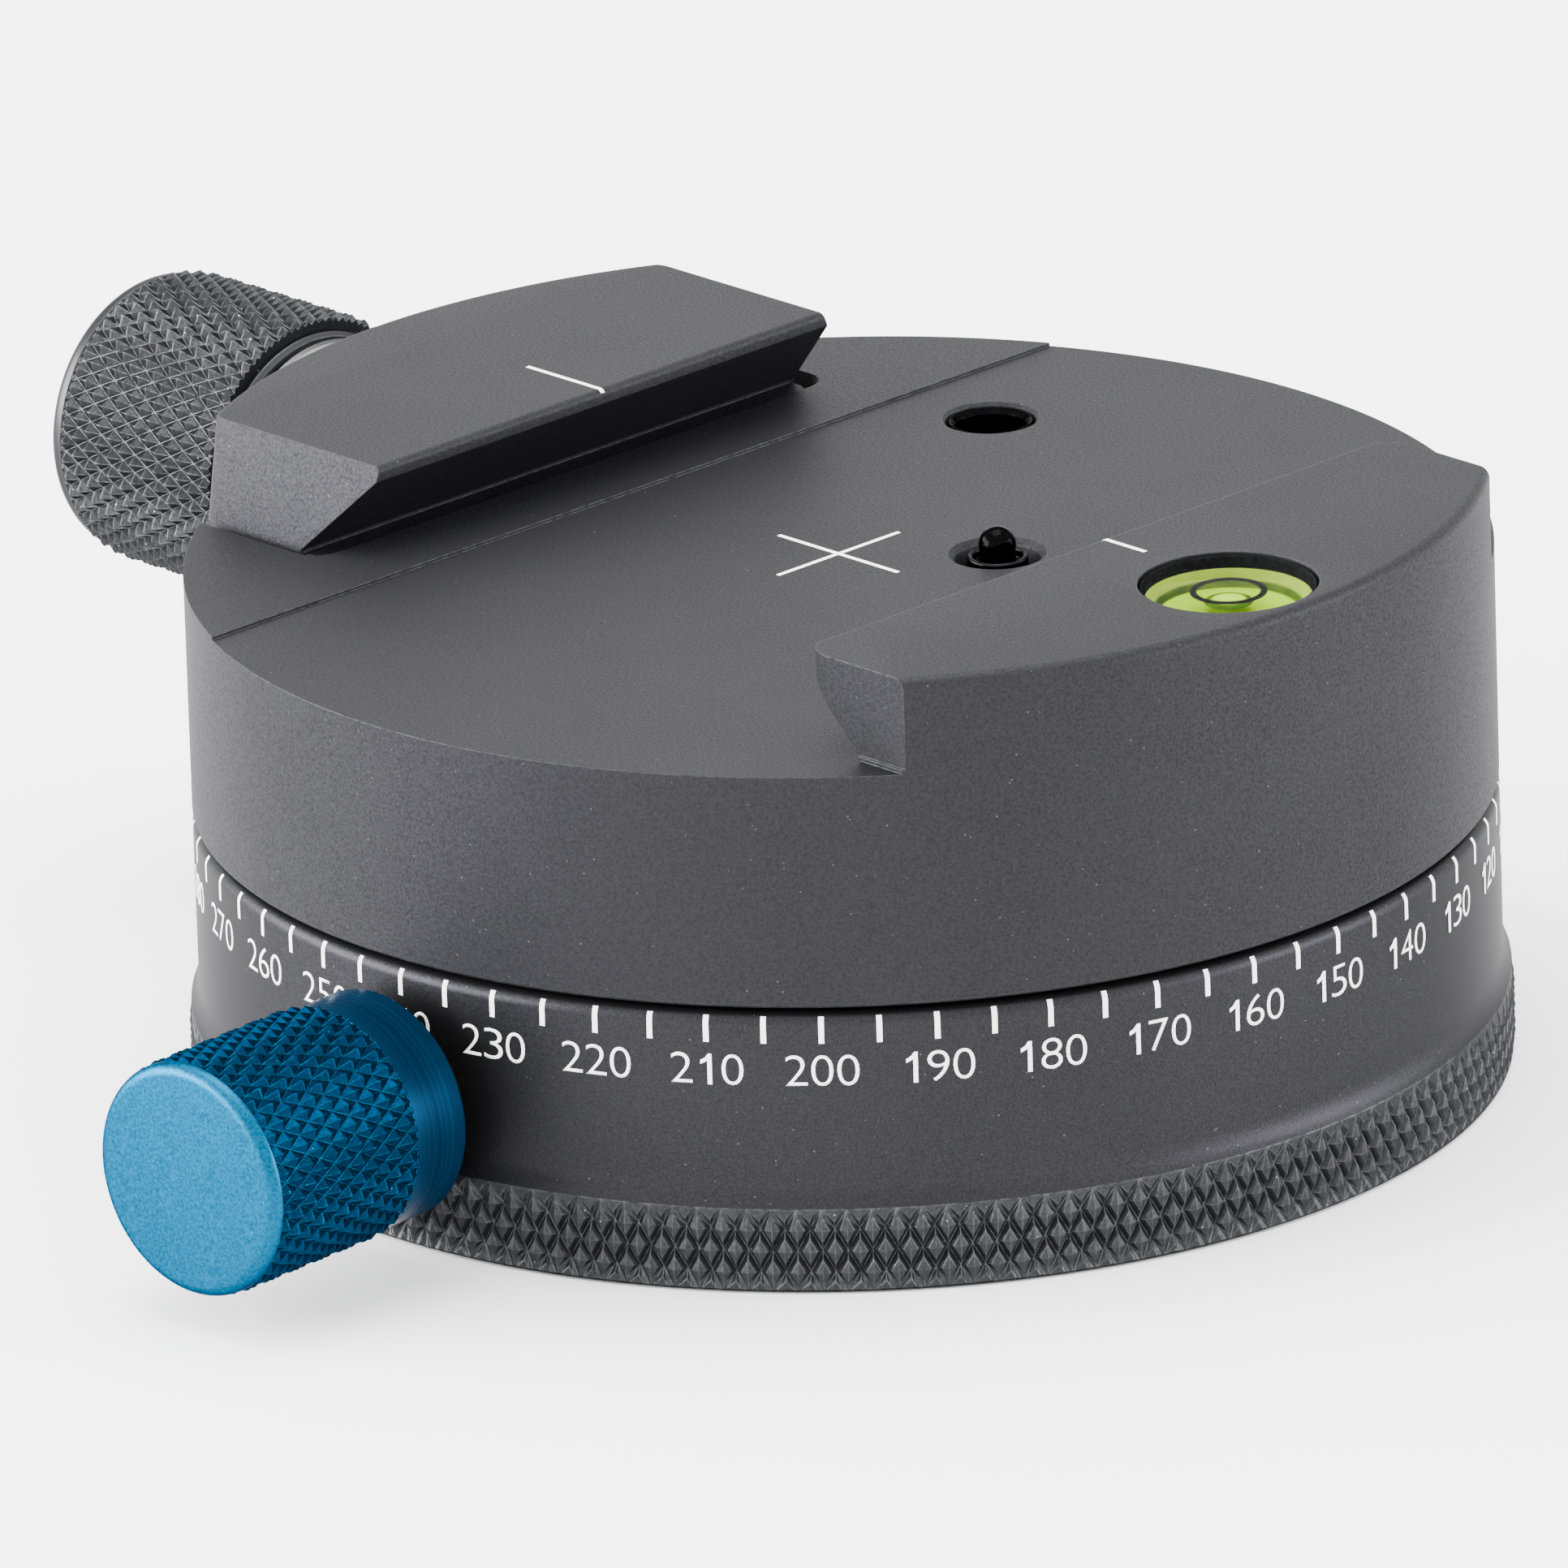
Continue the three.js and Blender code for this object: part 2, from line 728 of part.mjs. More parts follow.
// The brake disc under the flange, hung from the drum by its screws
function hub() {
  const disc = turned(ringProfile(cavityRadius, hubRadius, hubBottom, hubTop), middleSegments);
  const head = hubScrewRadius * headShare;
  const holes = aroundAxis(screwCount, hubScrewCircle).map(([x, y]) =>
    turned(
      [
        [0, hubBottom - overrun],
        [head - seatGap / 2, hubBottom - overrun],
        [head - seatGap / 2, hubBottom + hubScrewSink],
        [hubScrewRadius + seatGap, hubBottom + hubScrewSink],
        [hubScrewRadius + seatGap, hubTop + overrun],
        [0, hubTop + overrun],
      ],
      smallSegments,
    ).translate(x, y, 0),
  );
  return cut(disc, ...holes);
}

// A cap screw standing head down, its head's lower face at zero
function capScrew(radius, headHeight, length) {
  const head = radius * headShare - seatGap;
  const body = turned(
    [[0, 0], [head, 0], [head, headHeight], [radius, headHeight], [radius, length], [0, length]],
    smallSegments,
  );
  return cut(body, hexSocket(radius * socketShare, 0, headHeight / 2));
}

// The clamp's spindle, from its threaded end in the drum to its end in the knob
function clampSpindle() {
  const end = clampKnobEnd - knobCapThickness - seatGap;
  const rod = turnedAlongX(
    [
      [0, -end],
      [spindleRadius, -end],
      [spindleRadius, -pocketEdge + spindleGrip - rimRadius],
      [spindleRadius - rimRadius, -pocketEdge + spindleGrip],
      [0, -pocketEdge + spindleGrip],
    ],
    smallSegments,
  );
  return cut(rod, crossPinBore());
}

const crossPinX = -(collarStart + clampKnobStart) / 2;
const crossPinReach = collarRadius - slideGap;

// The cross pin's bore comes up from below and ends above the spindle
function crossPinBore() {
  const top = spindleRadius + seatGap * 2;
  return turned(
    rodProfile(crossPinRadius + slideGap, -collarRadius - overrun, top + seatGap),
    smallSegments,
  ).translate(crossPinX, 0, 0);
}

function crossPin() {
  return turned(rodProfile(crossPinRadius, -crossPinReach, spindleRadius + seatGap * 2), smallSegments);
}

function clampCollar() {
  const sleeve = turnedAlongX(
    ringProfile(spindleRadius + seatGap, collarRadius, -clampKnobStart, -collarStart),
    middleSegments,
  );
  return cut(sleeve, crossPinBore());
}

function clampKnob() {
  const end = clampKnobEnd;
  const start = clampKnobStart + seatGap;
  const bore = spindleRadius + seatGap;
  const boreEnd = end - knobCapThickness;
  const rounding = Array.from({ length: arcSegments + 1 }, (_, i) => {
    const turn = (Math.PI / 2) * (i / arcSegments);
    const radius = clampKnobRadius - clampKnobChamfer * (1 - Math.sin(turn));
    return [radius, -end + clampKnobChamferLength * (1 - Math.cos(turn))];
  });
  return turnedAlongX(
    [
      [0, -end],
      ...rounding,
      [clampKnobRadius, -start - clampKnobBackLength],
      [clampKnobBack, -start],
      [bore, -start],
      [bore, -boreEnd],
      [0, -boreEnd],
    ],
    middleSegments,
  );
}

function thrustWasher() {
  return turnedAlongX(
    ringProfile(spindleRadius + seatGap, washerRadius, -spotFace, -spotFace + washerThickness),
    middleSegments,
  );
}

// The lock's pieces lie along their own X, which points outward through the base's wall
function lockShoe() {
  return turnedAlongX(
    rodProfile(lockShoeRadius, brakeRadius - glideWallGap + lockRest, shoeEnd()),
    smallSegments,
  );
}

function shoeEnd() {
  return brakeRadius - glideWallGap + lockRest + lockShoeLength;
}

function lockBush() {
  const start = drumRadius - lockBushLength();
  return turnedAlongX(
    ringProfile(lockScrewRadius + seatGap, lockBushRadius, start, drumRadius + lockBushOut),
    smallSegments,
  );
}

function lockScrew() {
  return turnedAlongX(
    rodProfile(lockScrewRadius, shoeEnd() + seatGap, lockBoreEnd - seatGap),
    smallSegments,
  );
}

function lockKnob() {
  const bore = lockScrewRadius + seatGap;
  const body = turnedAlongX(
    [
      [bore, lockKnobStart],
      [lockBandRadius - lockKnobChamfer / 2, lockKnobStart],
      [lockBandRadius, lockKnobStart + lockKnobChamfer / 2],
      [lockBandRadius, lockKnurlStart],
      [lockKnobRadius, lockKnurlStart + lockKnobRadius - lockBandRadius],
      [lockKnobRadius, lockKnobEnd - lockKnobChamfer],
      [lockKnobRadius - lockKnobChamfer, lockKnobEnd],
      [0, lockKnobEnd],
      [0, lockBoreEnd],
      [bore, lockBoreEnd],
      [bore, lockKnobStart],
    ],
    middleSegments,
  );
  return cut(body, grubBore());
}

const grubPlace = (lockKnobStart + lockKnurlStart) / 2;

// The grub screw's bore comes up from below, so that it isn't seen from above
function grubBore() {
  return turned(
    rodProfile(grubRadius + slideGap, -lockBandRadius - overrun, -lockScrewRadius),
    smallSegments,
  ).translate(grubPlace, 0, 0);
}

function grubScrew() {
  const bottom = -lockScrewRadius - seatGap - grubLength;
  const body = turned(rodProfile(grubRadius, bottom, bottom + grubLength), smallSegments);
  return cut(body, hexSocket(grubRadius / 2, bottom, grubLength / 2));
}

// The level: a black cup with a clear lens over its fluid
function levelCup() {
  const outer = levelRadius - seatGap / 2;
  const bottom = jawHeight - levelDepth + seatGap;
  return turned(
    [
      [0, bottom],
      [outer, bottom],
      [outer, jawHeight],
      [outer - levelWall, jawHeight],
      [outer - levelWall, bottom + levelFloor],
      [0, bottom + levelFloor],
    ],
    middleSegments,
  );
}

const levelInside = levelRadius - seatGap / 2 - levelWall - slideGap;
const lensBottom = jawHeight - lensThickness;

function levelLiquid() {
  const bottom = jawHeight - levelDepth + seatGap + levelFloor + slideGap;
  return turned(rodProfile(levelInside, bottom, lensBottom - slideGap), middleSegments);
}

function levelLens() {
  return turned(
    [
      [0, lensBottom],
      [levelInside, lensBottom],
      [levelInside, jawHeight - lensDome],
      [levelInside / 2, jawHeight - lensDome / 4],
      [0, jawHeight],
    ],
    middleSegments,
  );
}

// The sprung stop pin: a threaded sleeve holds it by its shoulder, and a coil under it lifts it
const sleeveRadius = pinHoleRadius - slideGap;
const sleeveBore = sleeveRadius - pinSleeveWall;
const sleeveTop = -pinSleeveDrop;
const sleeveBottom = -pinHoleDepth + seatGap;
const sleeveFloor = sleeveBottom + pinSleeveWall;
const shoulderTop = sleeveTop - pinSleeveLip - slideGap;

function pinSleeve() {
  return turned(
    [
      [0, sleeveBottom],
      [sleeveRadius, sleeveBottom],
      [sleeveRadius, sleeveTop],
      [pinRadius + slideGap / 2, sleeveTop],
      [pinRadius + slideGap / 2, sleeveTop - pinSleeveLip],
      [sleeveBore, sleeveTop - pinSleeveLip],
      [sleeveBore, sleeveFloor],
      [0, sleeveFloor],
    ],
    smallSegments,
  );
}

function stopPin() {
  const shoulder = sleeveBore - slideGap / 2;
  const nose = roundedRim(pinRadius, pinHeight, pinRadius - pinShoulder / 2);
  return turned(
    [
      [0, shoulderTop - pinShoulderLength],
      [shoulder, shoulderTop - pinShoulderLength],
      [shoulder, shoulderTop],
      [pinRadius, shoulderTop],
      ...nose,
      [0, pinHeight],
    ],
    smallSegments,
  );
}

function pinSpring() {
  const top = shoulderTop - pinShoulderLength - slideGap;
  return spring(sleeveBore - slideGap, pinSpringWire, sleeveFloor + slideGap, top, pinSpringTurns);
}

function guidePin() {
  return turnedAlongX(
    rodProfile(guidePinRadius, -tongueEdge - guidePinReach, -pocketEdge + guidePinGrip),
    smallSegments,
  );
}

function returnSpring() {
  const reach = returnSpringLength / 2 - seatGap;
  return spring(
    returnSpringRadius,
    returnSpringWire,
    -tongueEdge - reach,
    -pocketEdge + reach,
    returnSpringTurns,
  ).rotateY(Math.PI / 2);
}

// A flat ring round the spigot, between the flange and what turns on it
function flatRing(outer, thickness, top) {
  return turned(ringProfile(flangeBore + glideWallGap, outer, top - thickness, top), middleSegments);
}

const upperGlideRadius = brakeRadius + glideWallGap - seatGap;
const lowerGlideRadius = hubRadius - glideWallGap;

// The base, which stays still on the tripod
const base = new THREE.Group();
base.add(
  mesh("base_ring", baseRing(), turnedGrey),
  mesh("base_plate", basePlate(), turnedGrey),
  mesh("tripod_bush", tripodBush(), brightSteel),
  mesh("upper_glide", flatRing(upperGlideRadius, glideThickness, glideTop), slidePlastic),
  mesh("lower_glide", flatRing(lowerGlideRadius, glideThickness, lowGlideTop), slidePlastic),
);
aroundAxis(screwCount, plateScrewCircle).forEach(([x, y], i) => {
  const screw = countersunkScrew(plateScrewRadius, plateScrewLength, seatGap / 2);
  base.add(mesh(`plate_screw_${i + 1}`, screw, blackSteel, x, y, baseBottom));
});

// The lock, in the base's wall
const lock = new THREE.Group();
lock.rotation.z = lockAzimuth;
lock.position.z = lockHeight;
lock.add(
  mesh("lock_shoe", lockShoe(), brakePlastic),
  mesh("lock_bush", lockBush(), brass),
  mesh("lock_screw", lockScrew(), brightSteel),
  mesh("lock_knob", lockKnob(), blueAnodised),
  mesh("lock_grub_screw", grubScrew(), blackSteel, grubPlace),
);
base.add(lock);

// What turns on it
const rotor = new THREE.Group();
rotor.add(
  mesh("upper_drum", upperDrum(), blastedGrey),
  mesh("hub", hub(), turnedGrey),
  mesh("wave_washer", flatRing(lowerGlideRadius, waveThickness, waveTop), springSteel),
  mesh("level_cup", levelCup(), levelBlack, levelX),
  mesh("level_fluid", levelLiquid(), levelFluid, levelX),
  mesh("level_lens", levelLens(), clearLens, levelX),
  mesh("pin_sleeve", pinSleeve(), blackSteel, ...pinHolePlace),
  mesh("pin_spring", pinSpring(), springSteel, ...pinHolePlace),
  mesh("stop_pin", stopPin(), blackSteel, ...pinHolePlace),
);
aroundAxis(screwCount, hubScrewCircle).forEach(([x, y], i) => {
  const length = spigotBottom + hubScrewReach - hubBottom - seatGap;
  const screw = capScrew(hubScrewRadius, hubScrewSink - 2 * seatGap, length);
  rotor.add(mesh(`hub_screw_${i + 1}`, screw, blackSteel, x, y, hubBottom + seatGap));
});
[-1, 1].forEach((side, i) => {
  rotor.add(
    mesh(`guide_pin_${i + 1}`, guidePin(), brightSteel, 0, side * guidePinSpread, guidePinHeight),
  );
  const coil = mesh(`return_spring_${i + 1}`, returnSpring(), springSteel);
  coil.position.set(0, side * returnSpringSpread, returnSpringHeight);
  rotor.add(coil);
});

// The moving jaw and what presses it
const clamp = new THREE.Group();
clamp.add(mesh("sliding_jaw", slidingJaw(), blastedGrey));
const drive = new THREE.Group();
drive.position.z = clampHeight;
drive.add(
  mesh("thrust_washer", thrustWasher(), brightSteel),
  mesh("clamp_collar", clampCollar(), knobGrey),
  mesh("clamp_spindle", clampSpindle(), brightSteel),
  mesh("clamp_knob", clampKnob(), knobGrey),
  mesh("clamp_cross_pin", crossPin(), blackSteel, crossPinX),
);
clamp.add(drive);
rotor.add(clamp);

const head = new THREE.Group();
head.add(base, rotor);

export default head;
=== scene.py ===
import math

import bpy
from mathutils import Matrix, Vector


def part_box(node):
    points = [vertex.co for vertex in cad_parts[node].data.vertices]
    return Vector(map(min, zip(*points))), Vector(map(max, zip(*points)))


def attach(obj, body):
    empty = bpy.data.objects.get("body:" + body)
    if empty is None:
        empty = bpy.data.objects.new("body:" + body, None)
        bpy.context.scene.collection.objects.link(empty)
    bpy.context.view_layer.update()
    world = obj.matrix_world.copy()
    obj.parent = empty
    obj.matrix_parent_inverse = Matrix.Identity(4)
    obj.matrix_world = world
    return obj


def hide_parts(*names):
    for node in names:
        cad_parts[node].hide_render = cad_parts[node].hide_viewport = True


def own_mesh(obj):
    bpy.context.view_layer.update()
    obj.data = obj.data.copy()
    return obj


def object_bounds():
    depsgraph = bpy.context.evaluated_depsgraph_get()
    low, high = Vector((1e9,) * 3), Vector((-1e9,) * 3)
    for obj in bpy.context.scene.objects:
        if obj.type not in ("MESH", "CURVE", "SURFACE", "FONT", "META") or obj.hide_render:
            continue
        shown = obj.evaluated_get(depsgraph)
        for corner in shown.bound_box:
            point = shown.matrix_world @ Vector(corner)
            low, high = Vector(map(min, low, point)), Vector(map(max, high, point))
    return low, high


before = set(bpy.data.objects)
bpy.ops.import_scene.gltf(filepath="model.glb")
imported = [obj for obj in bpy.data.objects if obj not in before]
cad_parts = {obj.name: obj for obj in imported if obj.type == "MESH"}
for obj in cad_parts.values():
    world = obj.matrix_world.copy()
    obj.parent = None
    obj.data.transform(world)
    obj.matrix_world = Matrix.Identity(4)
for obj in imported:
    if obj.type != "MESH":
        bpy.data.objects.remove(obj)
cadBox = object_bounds()

# Sizes are in millimetres and angles in degrees, unless a note says otherwise.
mm = 0.001
touching = 0.0005 * mm  # points this close are made one
past = 2  # how far a cutter reaches past what it cuts
quarterTurn = math.pi / 2


# Camera, floor and studio light

cameraView = {
    "place": (831.404, -802.671, 408.401),
    "right": (0.70026952, 0.71325881, -0.02974008),
    "up": (-0.22392198, 0.25901992, 0.93955714),
    "focalLength": 625.53,
    "sensor": 36.0,
    "clip": (0.01, 20.0),  # metres
}

studio = {
    "floorSize": 6.0,  # metres
    "floorColour": (0.86, 0.86, 0.86, 1.0),
    "floorRoughness": 0.9,
    "worldColour": (1.0, 1.0, 1.0, 1.0),
    "worldStrength": 4.0,
    # name: place in metres, size in metres, power in watts
    "lamps": {
        "leftSoftbox": ((-0.65, -0.65, 0.2), (1.1, 0.55), 65.0),
        "rightSoftbox": ((0.7, 0.58, 0.15), (0.6, 0.4), 14.0),
        "topSoftbox": ((-0.10, 0.05, 0.8), (0.6, 0.6), 12.0),
    },
}


def aimCamera():
    bpy.ops.object.camera_add(location=[c * mm for c in cameraView["place"]])
    camera = bpy.context.object
    camera.name = "photoCamera"
    right = Vector(cameraView["right"]).normalized()
    up = Vector(cameraView["up"]).normalized()
    camera.rotation_euler = Matrix((right, up, right.cross(up))).transposed().to_euler()
    camera.data.sensor_width = cameraView["sensor"]
    camera.data.lens = cameraView["focalLength"]
    camera.data.clip_start, camera.data.clip_end = cameraView["clip"]
    bpy.context.scene.camera = camera


def deselect():
    if bpy.context.object and bpy.context.object.mode != "OBJECT":
        bpy.ops.object.mode_set(mode="OBJECT")
    bpy.ops.object.select_all(action="DESELECT")


def applyTransform():
    bpy.ops.object.transform_apply(location=True, rotation=True, scale=True)


def layFloor():
    deselect()
    bpy.ops.mesh.primitive_plane_add(size=studio["floorSize"], location=(0, 0, cadBox[0][2]))
    floor = bpy.context.object
    floor.name = "studioFloor"
    applyTransform()
    paper = bpy.data.materials.new("studioPaper")
    paper.use_nodes = True
    shader = paper.node_tree.nodes["Principled BSDF"]
    shader.inputs["Base Color"].default_value = studio["floorColour"]
    shader.inputs["Roughness"].default_value = studio["floorRoughness"]
    floor.data.materials.append(paper)


def hangLights():
    world = bpy.data.worlds.new("studioAir")
    bpy.context.scene.world = world
    world.use_nodes = True
    air = world.node_tree.nodes["Background"]
    air.inputs["Color"].default_value = studio["worldColour"]
    air.inputs["Strength"].default_value = studio["worldStrength"]
    for name, (where, size, power) in studio["lamps"].items():
        bpy.ops.object.light_add(type="AREA", location=where)
        lamp = bpy.context.object
        lamp.name = name
        lamp.data.shape = "RECTANGLE"
        lamp.data.size, lamp.data.size_y = size
        lamp.data.energy = power
        lamp.rotation_euler = Vector(where).to_track_quat("Z", "Y").to_euler()


aimCamera()
layFloor()
hangLights()
print("camera, floor and lights are set")


# Shared modelling steps


def newPiece(name):
    piece = bpy.context.object
    piece.name = name
    piece.data.name = name
    return piece


def pick(piece):
    deselect()
    piece.select_set(True)
    bpy.context.view_layer.objects.active = piece


def applyStep(piece, kind, **settings):
    # adds a modifier with these settings and applies it
    pick(piece)
    step = piece.modifiers.new(kind.lower(), kind)
    for key, value in settings.items():
        setattr(step, key, value)
    bpy.ops.object.modifier_apply(modifier=step.name)
    return piece


def place(piece, matrix):
    pick(piece)
    piece.matrix_world = matrix
    applyTransform()
    return piece


def moveBy(piece, x=0.0, y=0.0, z=0.0):
    return place(piece, Matrix.Translation(Vector((x, y, z)) * mm))


def layAlongX(piece, y, z):
    # local heights become places along X
    place(piece, Matrix.Rotation(quarterTurn, 4, "Y"))
    return moveBy(piece, 0, y, z)


def combine(piece, tool, operation):
    applyStep(piece, "BOOLEAN", operation=operation, object=tool, solver="EXACT")
    bpy.data.objects.remove(tool)
    return piece


def cutAway(piece, tool):
    return combine(piece, tool, "DIFFERENCE")


def joinPieces(name, pieces):
    deselect()
    for piece in pieces:
        piece.select_set(True)
    bpy.context.view_layer.objects.active = pieces[0]
    bpy.ops.object.join()
    return newPiece(name)


def copyPiece(piece, matrix):
    twin = piece.copy()
    twin.data = piece.data.copy()
    bpy.context.collection.objects.link(twin)
    return place(twin, matrix)


def selectAll(kind="VERT"):
    bpy.ops.mesh.select_mode(type=kind)
    bpy.ops.mesh.select_all(action="SELECT")


def editAll():
    bpy.ops.object.mode_set(mode="EDIT")
    selectAll()


def smooth(piece, angle):
    pick(piece)
    bpy.ops.object.shade_smooth_by_angle(angle=math.radians(angle))
    return piece


def selectParts(mesh, kind, wanted):
    # selects the vertices, edges or faces that a test picks
    bpy.ops.object.mode_set(mode="EDIT")
    bpy.ops.mesh.select_mode(type=kind)
    bpy.ops.mesh.select_all(action="DESELECT")
    bpy.ops.object.mode_set(mode="OBJECT")
    parts = {"VERT": mesh.vertices, "EDGE": mesh.edges, "FACE": mesh.polygons}[kind]
    for part in parts:
        part.select = wanted(part)
    bpy.ops.object.mode_set(mode="EDIT")


def closeMesh():
    selectAll()
    bpy.ops.mesh.remove_doubles(threshold=touching)
    bpy.ops.mesh.normals_make_consistent(inside=False)
    bpy.ops.object.mode_set(mode="OBJECT")


def drawLine(name, points):
    # one vertex, pushed on from point to point
    deselect()
    bpy.ops.mesh.primitive_plane_add(size=mm)
    piece = newPiece(name)
    editAll()
    bpy.ops.mesh.merge(type="CENTER")
    last = Vector((0, 0, 0))
    for i, point in enumerate(points):
        step = (Vector(point) - last) * mm
        if i == 0:
            bpy.ops.transform.translate(value=step)
        else:
            bpy.ops.mesh.extrude_vertices_move(TRANSFORM_OT_translate={"value": step})
        last = Vector(point)
    bpy.ops.mesh.select_all(action="SELECT")
    return piece


def fillOutline(name, points):
    # one flat face inside a closed line
    piece = drawLine(name, points + points[:1])
    bpy.ops.mesh.remove_doubles(threshold=touching)
    bpy.ops.mesh.edge_face_add()
    return piece


def spinProfile(name, profile, segments):
    # points of (radius, height) from axis to axis, turned about Z
    piece = drawLine(name, [(radius, 0, height) for radius, height in profile])
    bpy.ops.mesh.spin(steps=segments, angle=2 * math.pi, center=(0, 0, 0), axis=(0, 0, 1))
    closeMesh()
    return piece


def spinLoop(name, profile, segments):
    # a profile that comes back to its first point
    return spinProfile(name, profile + profile[:1], segments)


def makeBore(radius, low, high, segments):
    # the cutter of a plain round hole
    return spinProfile("bore", [(0, low), (radius, low), (radius, high), (0, high)], segments)


def pushOutline(name, outline, start, end, along="Y"):
    # a closed outline in X and Z pushed along Y, or one in X and Y pushed along Z
    if along == "Y":
        piece = fillOutline(name, [(x, start, z) for x, z in outline])
        push = Vector((0, end - start, 0)) * mm
    else:
        piece = fillOutline(name, [(x, y, start) for x, y in outline])
        push = Vector((0, 0, end - start)) * mm
    bpy.ops.mesh.extrude_region_move(TRANSFORM_OT_translate={"value": push})
    closeMesh()
    return piece


def thicken(piece, thickness):
    applyStep(piece, "SOLIDIFY", thickness=thickness * mm, offset=-1)
    editAll()
    closeMesh()
    return piece


def makeStrip(name, points, width, thickness):
    # a strip along points in X and Z, with its width along Y
    strip = drawLine(name, [(x, -width / 2, z) for x, z in points])
    bpy.ops.mesh.extrude_edges_move(TRANSFORM_OT_translate={"value": (0, width * mm, 0)})
    closeMesh()
    return thicken(strip, thickness)


def arc(centreX, centreY, radius, start, end, steps=6):
    # points of a round stretch
    turns = [math.radians(start + (end - start) * i / steps) for i in range(steps + 1)]
    return [(centreX + radius * math.cos(t), centreY + radius * math.sin(t)) for t in turns]


def bow(start, bend, end, steps):
    # a stretch that leaves start and reaches end along the lines through bend
    points = []
    for i in range(steps + 1):
        t = i / steps
        shares = ((1 - t) ** 2, 2 * t * (1 - t), t**2)
        points.append(tuple(sum(s * c for s, c in zip(shares, cs)) for cs in zip(start, bend, end)))
    return points


def threadWall(outer, inner, start, limit, pitch):
    # the wall of a thread, ring by ring from start to limit, and the height where it ends
    step = math.copysign(pitch, limit - start)
    wall, height = [], start
    while (limit - height) * step > 0:
        wall += [(outer, height), (inner, height + step / 2)]
        height += step
    return wall, height


def fourAround(circle):
    # the places of four screws on a circle
    turns = [math.radians(45 + 90 * i) for i in range(4)]
    return [(circle * math.cos(turn), circle * math.sin(turn)) for turn in turns]


knurlCut = {
    "upright": 0.1,  # edges that rise more than this stand upright
    "endZone": 0.01,  # how near its ends the net counts as its end
    "underBore": 0.2,  # how far under the bore the net is closed
    "overTips": 0.02,  # how far over the tips the chamfers start
}


def knurledBand(name, band):
    # A tube of quads is poked and its old edges dissolved, which leaves diamonds. Each is inset
    # and raised to a small top, and the band is then turned down to its length between two
    # chamfers. Where a middle is given, the grooves rise to nothing at both ends of the net.
    deselect()
    valley = band["radius"] - band["rise"] - band["tip"]
    half = band["rows"] * band["pitch"] / 2 * mm
    middle = band.get("middle", (band["start"] + band["end"]) / 2) * mm
    runOut = "middle" in band
    bpy.ops.mesh.primitive_cylinder_add(
        vertices=band["columns"],
        radius=valley * mm,
        depth=2 * half,
        end_fill_type="NOTHING",
        location=(0, 0, middle),
    )
    applyTransform()
    piece = newPiece(name)
    mesh = piece.data

    def upright(edge):
        low, high = [mesh.vertices[i].co.z for i in edge.vertices]
        return abs(high - low) > knurlCut["upright"] * mm

    def inside(i):
        return abs(mesh.vertices[i].co.z - middle) < half - knurlCut["endZone"] * mm

    def oldEdge(edge):
        return max(edge.vertices) < corners and any(inside(i) for i in edge.vertices)

    selectParts(mesh, "EDGE", upright)
    bpy.ops.mesh.subdivide(number_cuts=band["rows"] - 1)
    bpy.ops.object.mode_set(mode="OBJECT")
    corners = len(mesh.vertices)
    editAll()
    bpy.ops.mesh.poke()
    bpy.ops.object.mode_set(mode="OBJECT")
    selectParts(mesh, "EDGE", oldEdge)
    bpy.ops.mesh.dissolve_edges(use_verts=False)
    selectAll("FACE")
    bpy.ops.mesh.inset(
        thickness=band["flank"] * mm, depth=band["rise"] * mm, use_individual=True
    )
    edgeRadius = valley
    if runOut:
        bpy.ops.object.mode_set(mode="OBJECT")
        tops = {face.index for face in mesh.polygons if face.select and len(face.vertices) == 4}
        ends = [vertex.index for vertex in mesh.vertices if not inside(vertex.index)]
        selectParts(mesh, "VERT", lambda vertex: vertex.index in ends)
        edgeRadius = valley + band["rise"]
        grow = edgeRadius / valley
        bpy.ops.transform.resize(value=(grow, grow, 1), center_override=(0, 0, 0))
        bpy.ops.object.mode_set(mode="OBJECT")
        selectParts(mesh, "FACE", lambda face: face.index in tops)
    bpy.ops.mesh.poke(offset=band["tip"] * mm)
    # the open ends are drawn in below the bore and joined there
    bpy.ops.mesh.select_all(action="DESELECT")
    bpy.ops.mesh.select_mode(type="EDGE")
    bpy.ops.mesh.select_non_manifold(extend=False)
    bpy.ops.mesh.extrude_edges_move()
    draw = (band["bore"] - knurlCut["underBore"]) / edgeRadius
    bpy.ops.transform.resize(value=(draw, draw, 1), center_override=(0, 0, 0))
    bpy.ops.mesh.select_all(action="DESELECT")
    bpy.ops.mesh.select_non_manifold(extend=False)
    bpy.ops.mesh.bridge_edge_loops()
    closeMesh()
    low, high, bore = band["start"], band["end"], band["bore"]
    r = band["radius"] + knurlCut["overTips"]
    (lowIn, lowUp), (highIn, highDown) = band["lowChamfer"], band["highChamfer"]
    tube = [(bore, low), (r - lowIn, low), (r, low + lowUp)]
    tube += [(r, high - highDown), (r - highIn, high), (bore, high)]
    return combine(piece, spinLoop("bandLimits", tube, band["columns"] * 2), "INTERSECT")


# Where the two knobs sit: the clamp knob points along -X, the lock knob out of the ring

knobAxes = {"clampDrop": -3.42, "lockAzimuth": -86.74, "lockDrop": -17.1}

clampPlace = Matrix.Translation((0, 0, knobAxes["clampDrop"] * mm))
clampPlace @= Matrix.Rotation(-quarterTurn, 4, "Y")
lockPlace = Matrix.Translation((0, 0, knobAxes["lockDrop"] * mm))
lockPlace @= Matrix.Rotation(math.radians(knobAxes["lockAzimuth"]), 4, "Z")
lockPlace @= Matrix.Rotation(quarterTurn, 4, "Y")


# Shared shader groups


